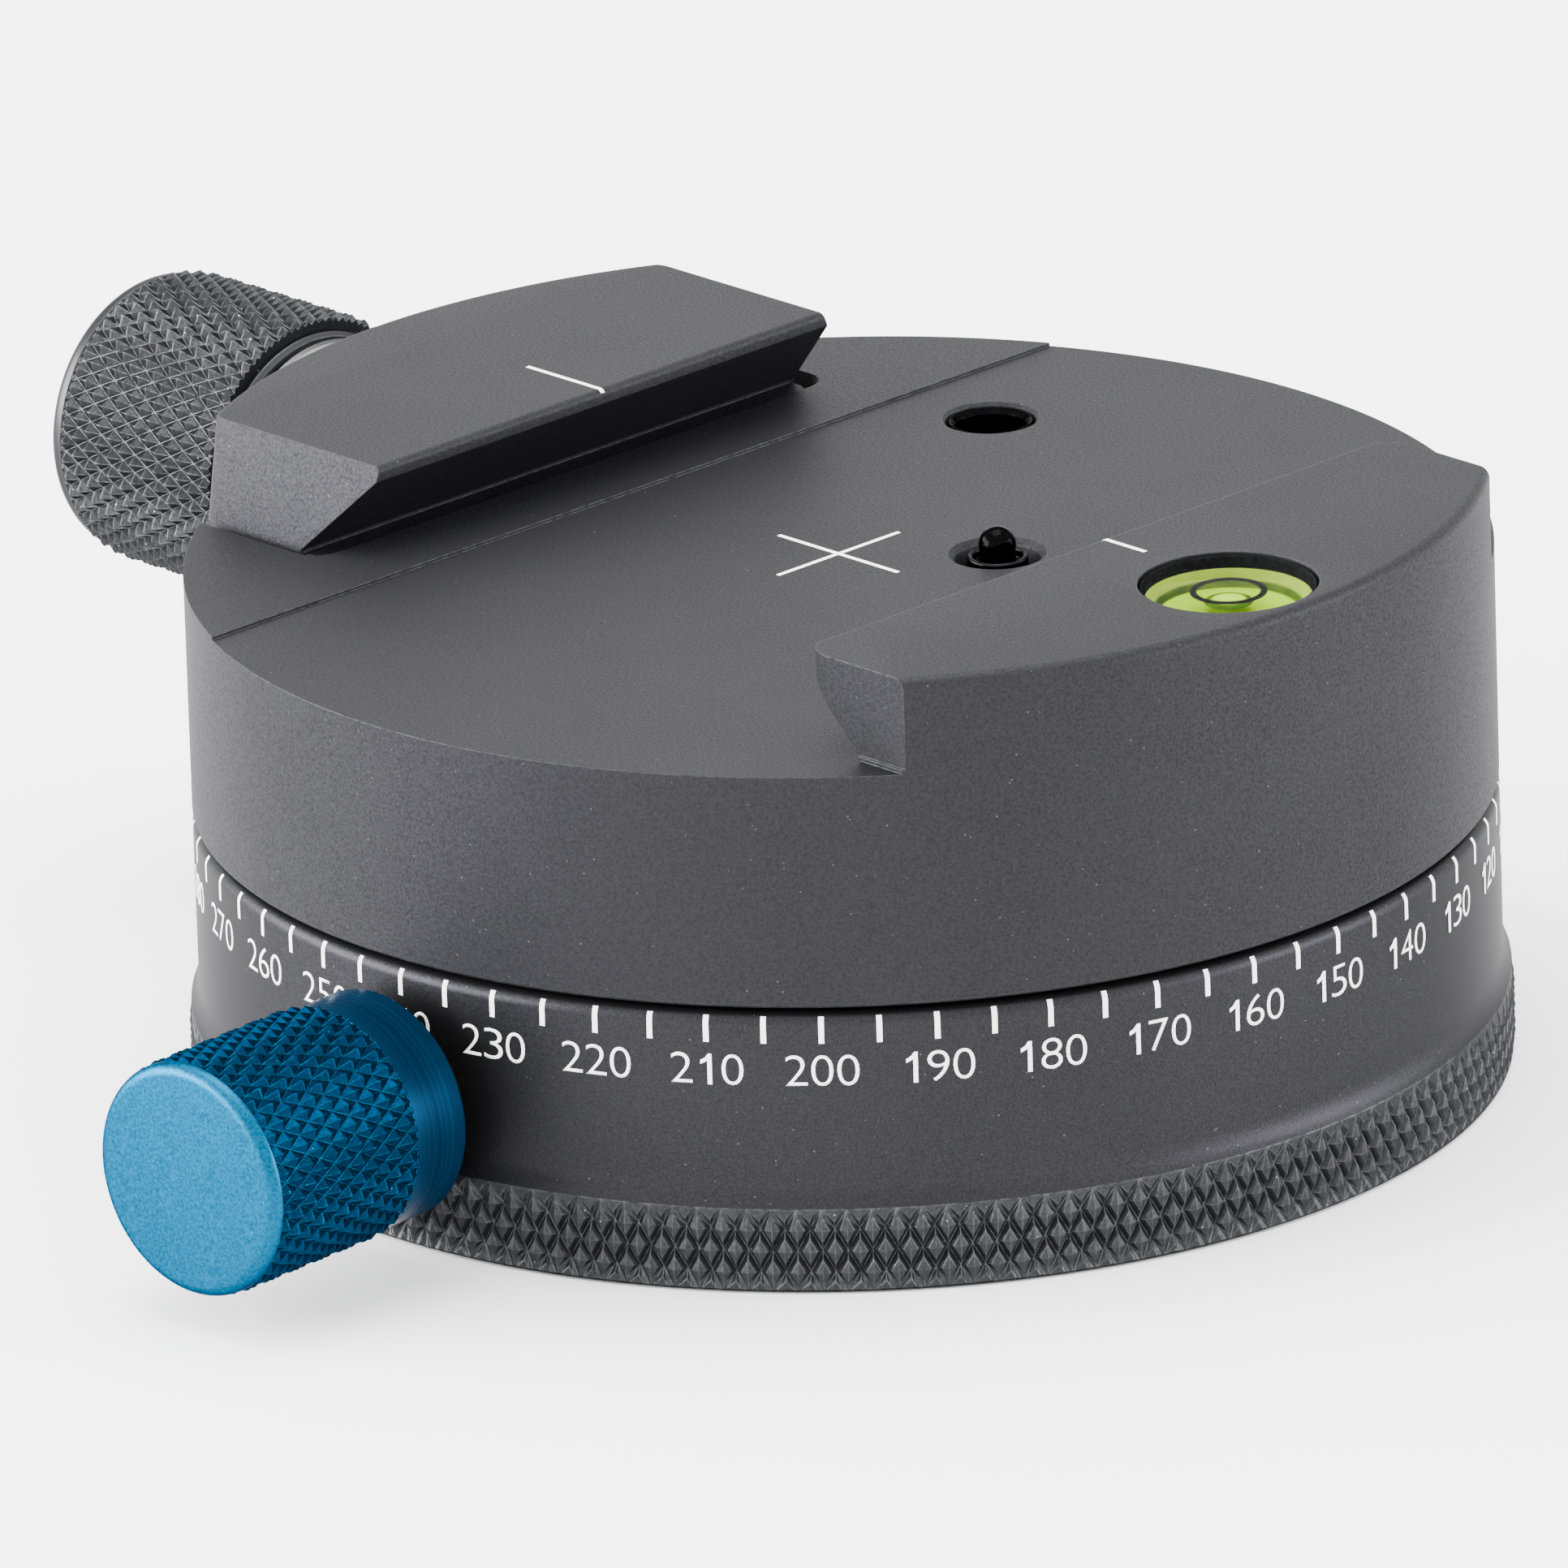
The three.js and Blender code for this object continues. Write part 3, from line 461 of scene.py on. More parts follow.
def fill(tree, socket, value):
    # a socket takes a link, a colour or a plain value
    if isinstance(value, bpy.types.NodeSocket):
        tree.links.new(value, socket)
    elif socket.type == "RGBA":
        socket.default_value = (*value, 1.0)
    else:
        socket.default_value = value


def addNode(tree, kind, inputs, **settings):
    node = tree.nodes.new(kind)
    for key, value in settings.items():
        setattr(node, key, value)
    for key, value in inputs.items():
        fill(tree, node.inputs[key], value)
    return node


def nodeGroup(name, inputs, outputs):
    group = bpy.data.node_groups.new(name, "ShaderNodeTree")
    for label, kind, value in inputs:
        socket = group.interface.new_socket(label, in_out="INPUT", socket_type=kind)
        socket.default_value = value
    for label, kind in outputs:
        group.interface.new_socket(label, in_out="OUTPUT", socket_type=kind)
    entry = group.nodes.new("NodeGroupInput")
    leave = group.nodes.new("NodeGroupOutput")
    return group, entry.outputs, leave.inputs


def onObject(tree):
    return tree.nodes.new("ShaderNodeTexCoord").outputs["Object"]


def mathNode(tree, operation, first, second=None, clamp=False):
    inputs = {0: first} if second is None else {0: first, 1: second}
    node = addNode(tree, "ShaderNodeMath", inputs, operation=operation, use_clamp=clamp)
    return node.outputs[0]


def distance(tree, first, second):
    node = addNode(tree, "ShaderNodeVectorMath", {0: first, 1: second}, operation="DISTANCE")
    return node.outputs["Value"]


def noise(tree, where, scale, detail=2.0, rough=0.5):
    inputs = {"Vector": where, "Scale": scale, "Detail": detail, "Roughness": rough}
    return addNode(tree, "ShaderNodeTexNoise", inputs).outputs["Fac"]


def remap(tree, value, span, newLow=0.0, newHigh=1.0):
    inputs = {"Value": value, "From Min": span[0], "From Max": span[1]}
    inputs.update({"To Min": newLow, "To Max": newHigh})
    return addNode(tree, "ShaderNodeMapRange", inputs).outputs["Result"]


def blendColours(tree, factor, first, second):
    # a Mix node's two colours are its inputs 6 and 7, and its colour is output 2
    inputs = {"Factor": factor, 6: first, 7: second}
    return addNode(tree, "ShaderNodeMix", inputs, data_type="RGBA").outputs[2]


# scales are in cells per metre
blastLook = {
    "cloudScale": 160.0,
    "cloudSpan": (0.3, 0.7),
    "cloudShare": 0.12,
    "pitSpan": (0.34, 0.66),
    "pitShare": 0.88,
    "speckScale": 2600.0,
    "speckSpan": (0.14, 0.05),
    "rarityScale": 2900.0,
    "raritySpan": (0.58, 0.66),
}


def makeBlastedGroup():
    # the skin that glass beads leave: fine pits and slow clouds, and a few bright specks that are
    # painted sparkle glints
    s = blastLook
    group, entry, leave = nodeGroup(
        "beadBlast",
        [("Grain", "NodeSocketFloat", 7000.0), ("Specks", "NodeSocketFloat", s["speckScale"])],
        [(label, "NodeSocketFloat") for label in ("Height", "Tone", "Speck")],
    )
    where = onObject(group)
    pits = noise(group, where, entry["Grain"], 3.0, 0.6)
    clouds = noise(group, where, s["cloudScale"], 3.0)
    # painted sparkle: small bright glint spots scattered in the colour, standing in for light
    # caught by the blasted grain
    glintCells = addNode(group, "ShaderNodeTexVoronoi", {"Vector": where, "Scale": entry["Specks"]})
    near = remap(group, glintCells.outputs["Distance"], s["speckSpan"])
    rare = remap(group, noise(group, where, s["rarityScale"], 1.0), s["raritySpan"])
    slow = mathNode(group, "MULTIPLY", remap(group, clouds, s["cloudSpan"]), s["cloudShare"])
    fast = mathNode(group, "MULTIPLY", remap(group, pits, s["pitSpan"]), s["pitShare"])
    fill(group, leave["Height"], pits)
    fill(group, leave["Tone"], mathNode(group, "ADD", slow, fast, clamp=True))
    fill(group, leave["Speck"], mathNode(group, "MULTIPLY", near, rare, clamp=True))
    return group


turnedLook = {
    "ringScale": 20000.0,
    "bandScale": 5200.0,
    "toneSpan": (0.12, 0.4),
    "bandSpan": (0.3, 0.7),
    "roughSpread": 0.05,
    "ringDepth": 0.01,
    "specular": 0.1,
}


def makeTurnedGroup():
    # fine rings that a lathe tool leaves round local Z, once a Mapping node has centred them
    group, entry, leave = nodeGroup(
        "turningRings",
        [
            ("Where", "NodeSocketVector", (0, 0, 0)),
            ("Pitch", "NodeSocketFloat", turnedLook["ringScale"]),
        ],
        [("Rings", "NodeSocketFloat"), ("Bands", "NodeSocketFloat")],
    )
    parts = addNode(group, "ShaderNodeSeparateXYZ", {0: entry["Where"]}).outputs
    across = mathNode(group, "MULTIPLY", parts["X"], parts["X"])
    down = mathNode(group, "MULTIPLY", parts["Y"], parts["Y"])
    radius = mathNode(group, "SQRT", mathNode(group, "ADD", across, down))
    joined = addNode(group, "ShaderNodeCombineXYZ", {"X": radius, "Y": parts["Z"]}).outputs[0]
    fill(group, leave["Rings"], noise(group, joined, entry["Pitch"], 2.0, 0.7))
    fill(group, leave["Bands"], noise(group, joined, turnedLook["bandScale"]))
    return group


edgeLook = {
    "width": 0.08,
    "samples": 6,
    "breakup": 2500.0,
    "breakupSpan": (0.35, 0.6),
    "bendSpan": (0.08, 0.5),
}


def makeEdgeGroup():
    # rounds the edges in the shading, and finds where they are rubbed bare
    s = edgeLook
    group, entry, leave = nodeGroup(
        "edgeWear",
        [
            ("Width", "NodeSocketFloat", s["width"] * mm),
            ("Breakup", "NodeSocketFloat", s["breakup"]),
        ],
        [("Wear", "NodeSocketFloat"), ("Normal", "NodeSocketVector")],
    )
    bevel = addNode(group, "ShaderNodeBevel", {"Radius": entry["Width"]}, samples=s["samples"])
    rounded = bevel.outputs[0]
    straight = group.nodes.new("ShaderNodeNewGeometry").outputs["Normal"]
    patches = noise(group, onObject(group), entry["Breakup"], 3.0, 0.6)
    rubbed = remap(group, patches, s["breakupSpan"])
    edge = remap(group, distance(group, rounded, straight), s["bendSpan"])
    fill(group, leave["Wear"], mathNode(group, "MULTIPLY", edge, rubbed, clamp=True))
    fill(group, leave["Normal"], rounded)
    return group


groups = {"blast": makeBlastedGroup(), "turned": makeTurnedGroup(), "edge": makeEdgeGroup()}


def useGroup(tree, key, **values):
    return addNode(tree, "ShaderNodeGroup", values, node_tree=groups[key]).outputs


# Materials

finishes = {}


def newMaterial(name, metal, rough, specular=0.5, edge=0.5):
    # edge dims the glancing reflection, as the oxide skin on anodised metal does
    material = bpy.data.materials.new(name)
    material.use_nodes = True
    tree = material.node_tree
    shader = tree.nodes["Principled BSDF"]
    shader.inputs["Metallic"].default_value = metal
    shader.inputs["Roughness"].default_value = rough
    shader.inputs["Specular IOR Level"].default_value = specular
    shader.inputs["Specular Tint"].default_value = (edge, edge, edge, 1)
    finishes[name] = material
    return tree, shader


def addBump(tree, shader, height, strength, depth, rounded=None):
    inputs = {"Strength": strength, "Distance": depth * mm, "Height": height}
    if rounded:
        inputs["Normal"] = rounded
    bump = addNode(tree, "ShaderNodeBump", inputs)
    fill(tree, shader.inputs["Normal"], bump.outputs["Normal"])


blastedSpread = {"rough": 0.06, "pitDepth": 0.02}


def blastedAluminium(name, coat, rough, grain, bump, edge, bare):
    dark, light, glint, worn = coats[coat]
    tree, shader = newMaterial(name, 1.0, rough, 0.0, edge)
    skin = useGroup(tree, "blast", Grain=grain)
    rim = useGroup(tree, "edge")
    grey = blendColours(tree, skin["Tone"], dark, light)
    # the bright glint spots are painted highlights laid into the base colour
    colour = blendColours(tree, skin["Speck"], grey, glint)
    colour = blendColours(tree, rim["Wear"], colour, worn)
    fill(tree, shader.inputs["Base Color"], colour)
    spread, whole = blastedSpread["rough"], (0.0, 1.0)
    uneven = remap(tree, skin["Tone"], whole, rough - spread, rough + spread)
    fill(tree, shader.inputs["Roughness"], uneven)
    # bare metal shows through the pits unevenly, so the grain is seen best at a low angle
    fill(tree, shader.inputs["Metallic"], remap(tree, skin["Tone"], whole, bare, 1.0))
    addBump(tree, shader, skin["Height"], bump, blastedSpread["pitDepth"], rim["Normal"])


# dark and light of the grain, its painted sparkle glints, and edges that are rubbed bare
coats = {
    "body": (
        (0.0122, 0.0121, 0.0136),
        (0.022, 0.0218, 0.0244),
        (0.08, 0.08, 0.083),
        (0.045, 0.045, 0.048),
    ),
    "gripKnurl": (
        (0.017, 0.017, 0.019),
        (0.031, 0.031, 0.034),
        (0.25, 0.25, 0.25),
        (0.09, 0.09, 0.094),
    ),
    "clampKnurl": (
        (0.0125, 0.0125, 0.0138),
        (0.026, 0.026, 0.0285),
        (0.4, 0.4, 0.4),
        (0.09, 0.09, 0.093),
    ),
    "blueKnurl": (
        (0.0, 0.0105, 0.029),
        (0.0, 0.0175, 0.045),
        (0.02, 0.12, 0.2),
        (0.0, 0.05, 0.1),
    ),
    # the blue dye is real; its extra lightness over the knurl's and band's coats is painted light
    # from the lamp falling on the end face
    "litBlueFace": (
        (0.0, 0.04, 0.085),
        (0.0, 0.078, 0.155),
        (0.01, 0.18, 0.3),
        (0.02, 0.18, 0.28),
    ),
}

# name: coat, roughness, grain, bump, edge, and how far the bare metal shows
blastedFinishes = {
    "blastedGrey": ("body", 0.52, 7500.0, 0.6, 0.78, 0.3),
    "jawGrey": ("body", 0.52, 7500.0, 0.6, 0.78, 0.3),
    "satinGrey": ("body", 0.42, 9500.0, 0.3, 0.6, 0.7),
    "knurlGrey": ("gripKnurl", 0.36, 6000.0, 0.15, 0.5, 0.45),
    "clampGrey": ("clampKnurl", 0.33, 6000.0, 0.15, 0.4, 0.5),
    "knurlBlue": ("blueKnurl", 0.25, 6000.0, 0.15, 0.3, 0.3),
    "faceBlue": ("litBlueFace", 0.4, 7000.0, 0.5, 0.3, 0.95),
}


def turnedMetal(name, dark, light, rough, bump, axis, metal):
    s = turnedLook
    tree, shader = newMaterial(name, metal, rough, s["specular"])
    drop, turn = latheAxes[axis]
    centre = {"Location": (0, 0, drop * mm), "Rotation": [math.radians(t) for t in turn]}
    centre["Vector"] = onObject(tree)
    centred = addNode(tree, "ShaderNodeMapping", centre, vector_type="TEXTURE").outputs[0]
    rings = useGroup(tree, "turned", Where=centred)
    rim = useGroup(tree, "edge")
    tone = mathNode(tree, "MULTIPLY", rings["Rings"], rings["Bands"])
    colour = blendColours(tree, remap(tree, tone, s["toneSpan"]), dark, light)
    worn = tuple(min(1.0, 2 * c) for c in light)
    fill(tree, shader.inputs["Base Color"], blendColours(tree, rim["Wear"], colour, worn))
    low, high = rough - s["roughSpread"], rough + s["roughSpread"]
    uneven = remap(tree, rings["Bands"], s["bandSpan"], low, high)
    fill(tree, shader.inputs["Roughness"], uneven)
    addBump(tree, shader, rings["Rings"], bump, s["ringDepth"], rim["Normal"])


# the height of each turning axis, and how it is turned
latheAxes = {
    "drum": (0, (0, 0, 0)),
    "clamp": (knobAxes["clampDrop"], (0, 90, 0)),
    "lock": (knobAxes["lockDrop"], (0, 90, knobAxes["lockAzimuth"])),
}

# name: dark, light, roughness, bump, axis, metallic
turnedFinishes = {
    "bandBlue": ((0.0, 0.014, 0.04), (0.0, 0.026, 0.065), 0.28, 0.2, "lock", 0.6),
    "turnedGrey": ((0.22, 0.22, 0.228), (0.42, 0.42, 0.43), 0.3, 0.3, "clamp", 1.0),
    "knobGrey": ((0.024, 0.024, 0.026), (0.037, 0.037, 0.04), 0.33, 0.3, "clamp", 1.0),
    "brightSteel": ((0.2, 0.205, 0.215), (0.3, 0.305, 0.32), 0.28, 0.2, "drum", 1.0),
    "turnedBrass": ((0.2, 0.12, 0.03), (0.28, 0.17, 0.05), 0.3, 0.2, "drum", 1.0),
    "blackSteel": ((0.001, 0.001, 0.0011), (0.003, 0.003, 0.0033), 0.12, 0.05, "drum", 1.0),
    "darkSteel": ((0.004, 0.004, 0.0045), (0.012, 0.012, 0.013), 0.2, 0.1, "drum", 1.0),
    "turnedPlate": ((0.02, 0.02, 0.022), (0.04, 0.04, 0.043), 0.35, 0.3, "drum", 1.0),
    "springSteel": ((0.12, 0.12, 0.13), (0.2, 0.2, 0.21), 0.3, 0.1, "drum", 1.0),
}


def dullCoat(name, dark, light, rough, grain, bump, specular):
    tree, shader = newMaterial(name, 0.0, rough, specular)
    skin = useGroup(tree, "blast", Grain=grain)
    fill(tree, shader.inputs["Base Color"], blendColours(tree, skin["Tone"], dark, light))
    addBump(tree, shader, skin["Height"], bump, 0.01)


# name: dark, light, roughness, grain, bump, specular level
dullFinishes = {
    "whiteFilling": ((0.72, 0.72, 0.71), (0.88, 0.88, 0.87), 0.55, 9000.0, 0.15, 0.5),
    "slidePlastic": ((0.7, 0.69, 0.64), (0.78, 0.77, 0.72), 0.5, 5000.0, 0.1, 0.5),
    "brakePlastic": ((0.018, 0.018, 0.02), (0.03, 0.03, 0.032), 0.55, 5000.0, 0.1, 0.5),
    "levelBlack": ((0.003, 0.003, 0.0035), (0.008, 0.008, 0.009), 0.5, 5000.0, 0.1, 0.0),
}

levelLook = {
    # strength of the painted glow of the fluid and the bubble
    "glow": 0.3,
    # painted light in the fluid's colour: a painted highlight on its floor, painted shade on the
    # wall over it, and then a pale painted reflection where the lens mirrors it
    "fluidHeights": (3.0, 4.0),
    "fluidColours": [
        (0.03, (0.17, 0.3, 0.0)),
        (0.06, (0.006, 0.02, 0.001)),
        (0.3, (0.01, 0.025, 0.002)),
        (0.38, (0.12, 0.17, 0.015)),
        (0.9, (0.12, 0.17, 0.02)),
    ],
    # noise scale, its span, its share, and the colour it brings
    "fluidClouds": (900.0, (0.35, 0.75), 0.2, (0.22, 0.33, 0.01)),
    "bubbleClouds": (1500.0, (0.3, 0.7), 0.25, (0.1, 0.2, 0.0)),
    "bubbleMiddle": (24.8, 0, 3.4),
    # the bubble's painted shaded rim: where it starts and ends, then the colours of the lit middle
    # and the shaded rim
    "bubbleRim": (0.72, 0.86),
    "bubbleColours": ((0.2, 0.33, 0.01), (0.005, 0.025, 0.001)),
    "lensColour": (0.02, 0.03, 0.01),
    "lensAlpha": (0.01, 0.06),
    "lensRough": (0.02, 0.08),
}


def glowGreen(tree, shader, where, colour, clouds):
    scale, span, share, veil = clouds
    cloudy = remap(tree, noise(tree, where, scale), span, 0.0, share)
    mixed = blendColours(tree, cloudy, colour, veil)
    fill(tree, shader.inputs["Base Color"], mixed)
    # the colour also goes to emission: a painted glow, as if light shone through the green fluid,
    # though the level is no lamp
    fill(tree, shader.inputs["Emission Color"], mixed)
    shader.inputs["Emission Strength"].default_value = levelLook["glow"]


def makeLevelFluid():
    s = levelLook
    tree, shader = newMaterial("levelFluid", 0.0, 0.3, 0.0)
    where = onObject(tree)
    parts = addNode(tree, "ShaderNodeSeparateXYZ", {0: where}).outputs
    # the fluid's colour runs with height through its painted highlight, painted shade and painted
    # reflection
    height = remap(tree, parts["Z"], [h * mm for h in s["fluidHeights"]])
    ramp = addNode(tree, "ShaderNodeValToRGB", {"Fac": height})
    elements = ramp.color_ramp.elements
    first, *between, last = s["fluidColours"]
    for element, (position, colour) in zip(elements, (first, last)):
        element.position, element.color = position, (*colour, 1)
    for position, colour in between:
        elements.new(position).color = (*colour, 1)
    glowGreen(tree, shader, where, ramp.outputs["Color"], s["fluidClouds"])


def makeLevelBubble():
    # painted light: bright in the middle as a painted highlight, with a painted dark rim for the
    # shade where its edge bends the light away
    s = levelLook
    tree, shader = newMaterial("levelBubble", 0.0, 0.2, 0.0)
    where = onObject(tree)
    away = distance(tree, where, [c * mm for c in s["bubbleMiddle"]])
    rim = remap(tree, away, [r * mm for r in s["bubbleRim"]])
    colour = blendColours(tree, rim, *s["bubbleColours"])
    glowGreen(tree, shader, where, colour, s["bubbleClouds"])


def makeClearLens():
    s = levelLook
    tree, shader = newMaterial("clearLens", 0.0, 0.04, 0.3)
    fill(tree, shader.inputs["Base Color"], s["lensColour"])
    facing = addNode(tree, "ShaderNodeLayerWeight", {"Blend": 0.35}).outputs["Facing"]
    fill(tree, shader.inputs["Alpha"], remap(tree, facing, (0.0, 1.0), *s["lensAlpha"]))
    smears = noise(tree, onObject(tree), 2500.0, 3.0)
    fill(tree, shader.inputs["Roughness"], remap(tree, smears, (0.3, 0.7), *s["lensRough"]))


for make, rows in (
    (blastedAluminium, blastedFinishes),
    (turnedMetal, turnedFinishes),
    (dullCoat, dullFinishes),
):
    for name, values in rows.items():
        make(name, *values)
makeLevelFluid()
makeLevelBubble()
makeClearLens()
print("materials are made")


def wear(piece, finish, body, slot, *nodes):
    piece.data.materials.clear()
    piece.data.materials.append(finishes[finish])
    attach(piece, body)
    if nodes:
        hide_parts(*nodes)
    return piece


# The turning drum with its seat and fixed jaw

drumSizes = {
    "radius": 29.5,
    "depth": 10.84,
    "jawTop": 4.4,
    "segments": 256,
    "topRounding": 0.45,
    "edgeBreak": 0.12,
    "spigotRadius": 15.825,
    "spigotBottom": -15.65,
    "cavityRadius": 10.797,
    "cavityTop": -13.03,
    "stepEdge": -13.03,
    "stepHeight": 0.15,
    "lipNose": 16.4,
    "lipCorner": 1.85,
    "lipThickness": 0.75,
    "lipRounding": 0.3,
    "flankFoot": 20.3,
    "flankBendShare": 0.125,
    "jawHalfLength": 18.5,
    "ledgeOut": 0.12,
    "ledgeHeight": 0.2,
    "endCutStart": 5,
    "pocketEdge": -17.0,
    "pocketHalfWidth": 16.25,
    "pocketCorner": 1.3,
    "pocketFloor": -9.4,
}


def pocketPlan(far, edge, half, corner):
    # from the rim in to edge, with two round corners
    plan = [(-far, -half)] + arc(edge - corner, -half + corner, corner, -90, 0)
    return plan + arc(edge - corner, half - corner, corner, 0, 90) + [(-far, half)]


def makeDrum():
    s = drumSizes
    r, top, b, rounding = s["radius"], s["jawTop"], s["edgeBreak"], s["topRounding"]
    spigot, bottom, cavity = s["spigotRadius"], s["spigotBottom"], s["cavityRadius"]
    profile = [(0, s["cavityTop"]), (cavity, s["cavityTop"]), (cavity, bottom), (spigot, bottom)]
    profile += [(spigot, -s["depth"]), (r - b, -s["depth"]), (r, -s["depth"] + b)]
    profile += arc(r - rounding, top - rounding, rounding, 0, 90) + [(0, top)]
    drum = spinProfile("drum", profile, s["segments"])
    far, over = r + past, top + past
    # the channel with the undercut flank of the fixed jaw
    nose, foot, lip = s["lipNose"], s["flankFoot"], s["lipRounding"]
    bend = nose + (foot - nose) * s["flankBendShare"]
    channel = [(-far, s["stepHeight"]), (s["stepEdge"], s["stepHeight"]), (s["stepEdge"], 0)]
    channel += bow((foot, 0), (bend, foot - bend), (nose, top - s["lipThickness"]), steps=14)
    channel += arc(nose + lip, top - lip, lip, 180, 90, steps=5)
    channel += [(nose + lip, over), (-far, over)]
    cutAway(drum, pushOutline("channelCutter", channel, -far, far))
    # the fixed jaw's two ends, with a small ledge at the foot of each
    half, ledge, c = s["jawHalfLength"], s["ledgeHeight"], s["lipCorner"]
    for side in (-1, 1):
        inner, outer = side * half, side * (half + s["ledgeOut"])
        ends = [(inner, ledge), (outer, ledge), (outer, 0)]
        ends += [(side * far, 0), (side * far, over), (inner, over)]
        cutter = pushOutline("endCutter", [(-x, z) for x, z in ends], s["endCutStart"], far)
        cutAway(drum, place(cutter, Matrix.Rotation(-quarterTurn, 4, "Z")))
    # the lip's corners are round in plan, down to the ledge
    for side in (-1, 1):
        plan = [(nose - past, side * (half - c))]
        plan += arc(nose + c, side * (half - c), c, 180, 180 - 90 * side, steps=8)
        plan += [(nose + c, side * (half + past)), (nose - past, side * (half + past))]
        cutAway(drum, pushOutline("cornerCutter", plan, ledge + 0.01, over, "Z"))
    pocket = pocketPlan(far, s["pocketEdge"], s["pocketHalfWidth"], s["pocketCorner"])
    return cutAway(drum, pushOutline("pocketCutter", pocket, s["pocketFloor"], over, "Z"))


drum = makeDrum()
print("the drum is turned and its channel milled", len(drum.data.polygons))

drumHoles = {
    # thread: pitch and depth
    "pinHole": {
        "x": 5.35,
        "y": 4.77,
        "radius": 1.97,
        "depth": 8.6,
        "chamfer": 0.28,
        "thread": (0.7, 0.3),
    },
    "spareHole": {
        "x": -7.98,
        "y": 17.6,
        "radius": 2.1,
        "depth": 8.0,
        "chamfer": 0.15,
        "thread": (0.7, 0.1),
    },
    "levelX": 24.8,
    "levelRadius": 4.05,
    "levelFloor": 0.2,
    "boreStart": -20,
    "spindleRadius": 2.8,
    "spindleEnd": -8.2,
    "guideRadius": 1.8,
    "guideSpread": 10,
    "guideDrop": -4.499,
    "guideEnd": -9.5,
    "springRadius": 1.8,
    "springSpread": 5.6,
    "springDrop": -6.34,
    "springEnd": -12.2,
    "screwRadius": 1.8,
    "screwCircle": 13.393,
    "screwStart": -17,
    "screwTop": -10.95,
}


def makeDrill(hole):
    # the cutter of a threaded hole, whose wall goes in and out with the thread
    radius, depth, chamfer = hole["radius"], hole["depth"], hole["chamfer"]
    pitch, threadDepth = hole["thread"]
    wall, _ = threadWall(radius, radius - threadDepth, -depth, -chamfer - pitch, pitch)
    profile = [(0, -depth - radius / 2)] + wall + [(radius, -chamfer), (radius + chamfer, 0)]
    drill = spinProfile("drill", profile + [(radius + chamfer, past), (0, past)], 64)
    return moveBy(drill, hole["x"], hole["y"])


def drillDrum():
    s = drumHoles
    for key in ("pinHole", "spareHole"):
        cutAway(drum, makeDrill(s[key]))
    level = makeBore(s["levelRadius"], s["levelFloor"], drumSizes["jawTop"] + past, 96)
    cutAway(drum, moveBy(level, s["levelX"]))
    bores = [(s["spindleRadius"], 0, knobAxes["clampDrop"], s["spindleEnd"])]
    for side in (-1, 1):
        bores.append((s["guideRadius"], side * s["guideSpread"], s["guideDrop"], s["guideEnd"]))
        bores.append(
            (s["springRadius"], side * s["springSpread"], s["springDrop"], s["springEnd"])
        )
    for radius, y, z, end in bores:
        cutAway(drum, layAlongX(makeBore(radius, s["boreStart"], end, 48), y, z))
    for x, y in fourAround(s["screwCircle"]):
        hole = makeBore(s["screwRadius"], s["screwStart"], s["screwTop"], 32)
        cutAway(drum, moveBy(hole, x, y))


drillDrum()
smooth(drum, angle=25)
wear(drum, "blastedGrey", "turning_drum", "blasted_grey", "upper_drum")
print("the drum is drilled")


# The moving jaw

jawSizes = {
    "halfLength": 15.6,
    "topHalfLength": 14.0,
    "corner": 1.6,
    "pastRim": 0.6,
    "foot": 18.75,
    "nose": 15.0,
    "footDepth": 0.3,
    "lipRounding": 0.3,
    "tongueEdge": -17.3,
    "tongueHalf": 15.4,
    "tongueCorner": 1.0,
    "tongueTop": -0.15,
    "tongueBottom": -9.1,
    "boreRadius": 2.8,
    "spotRadius": 6.1,
    "spotFace": -28.95,
    "washerRadius": 4.6,
    "washerSeat": -27.75,
    "innerEnd": -12,
    "pinRadius": 1.65,
    "pinEnd": -24.8,
    "springRadius": 1.8,
    "springEnd": -22.1,
}


def jawPlan(lean):
    # The plan at the seat, or with lean at the top, where the ends lean in and each point
    # keeps its distance from the axis.
    s, r = jawSizes, drumSizes["radius"]
    half, corner, nose = s["halfLength"], s["corner"], s["nose"]
    centreY = half - corner
    centreX = -math.sqrt((r - corner) ** 2 - centreY**2)
    turn = math.degrees(math.atan2(centreY, centreX))
    plan = [(-nose / 2, -half), (-nose / 2, half)]
    plan += arc(centreX, centreY, corner, 90, turn, steps=10)
    plan += [((r + s["pastRim"]) / math.cos(math.radians(turn)), 0)]
    plan += arc(centreX, -centreY, corner, 360 - turn, 270, steps=10)
    scale = 1 - lean * (1 - s["topHalfLength"] / half)
    return [(-math.sqrt(x * x + y * y - (y * scale) ** 2), y * scale) for x, y in plan]


def loftPlans(name, lower, low, upper, high):
    loops = [
        drawLine(name, [(x, y, z) for x, y in plan + plan[:1]])
        for plan, z in ((lower, low), (upper, high))
    ]
    loft = joinPieces(name, loops)
    editAll()
    bpy.ops.mesh.remove_doubles(threshold=touching)
    bpy.ops.mesh.bridge_edge_loops()
    bpy.ops.mesh.select_all(action="SELECT")
    bpy.ops.mesh.fill_holes(sides=0)
    closeMesh()
    return loft


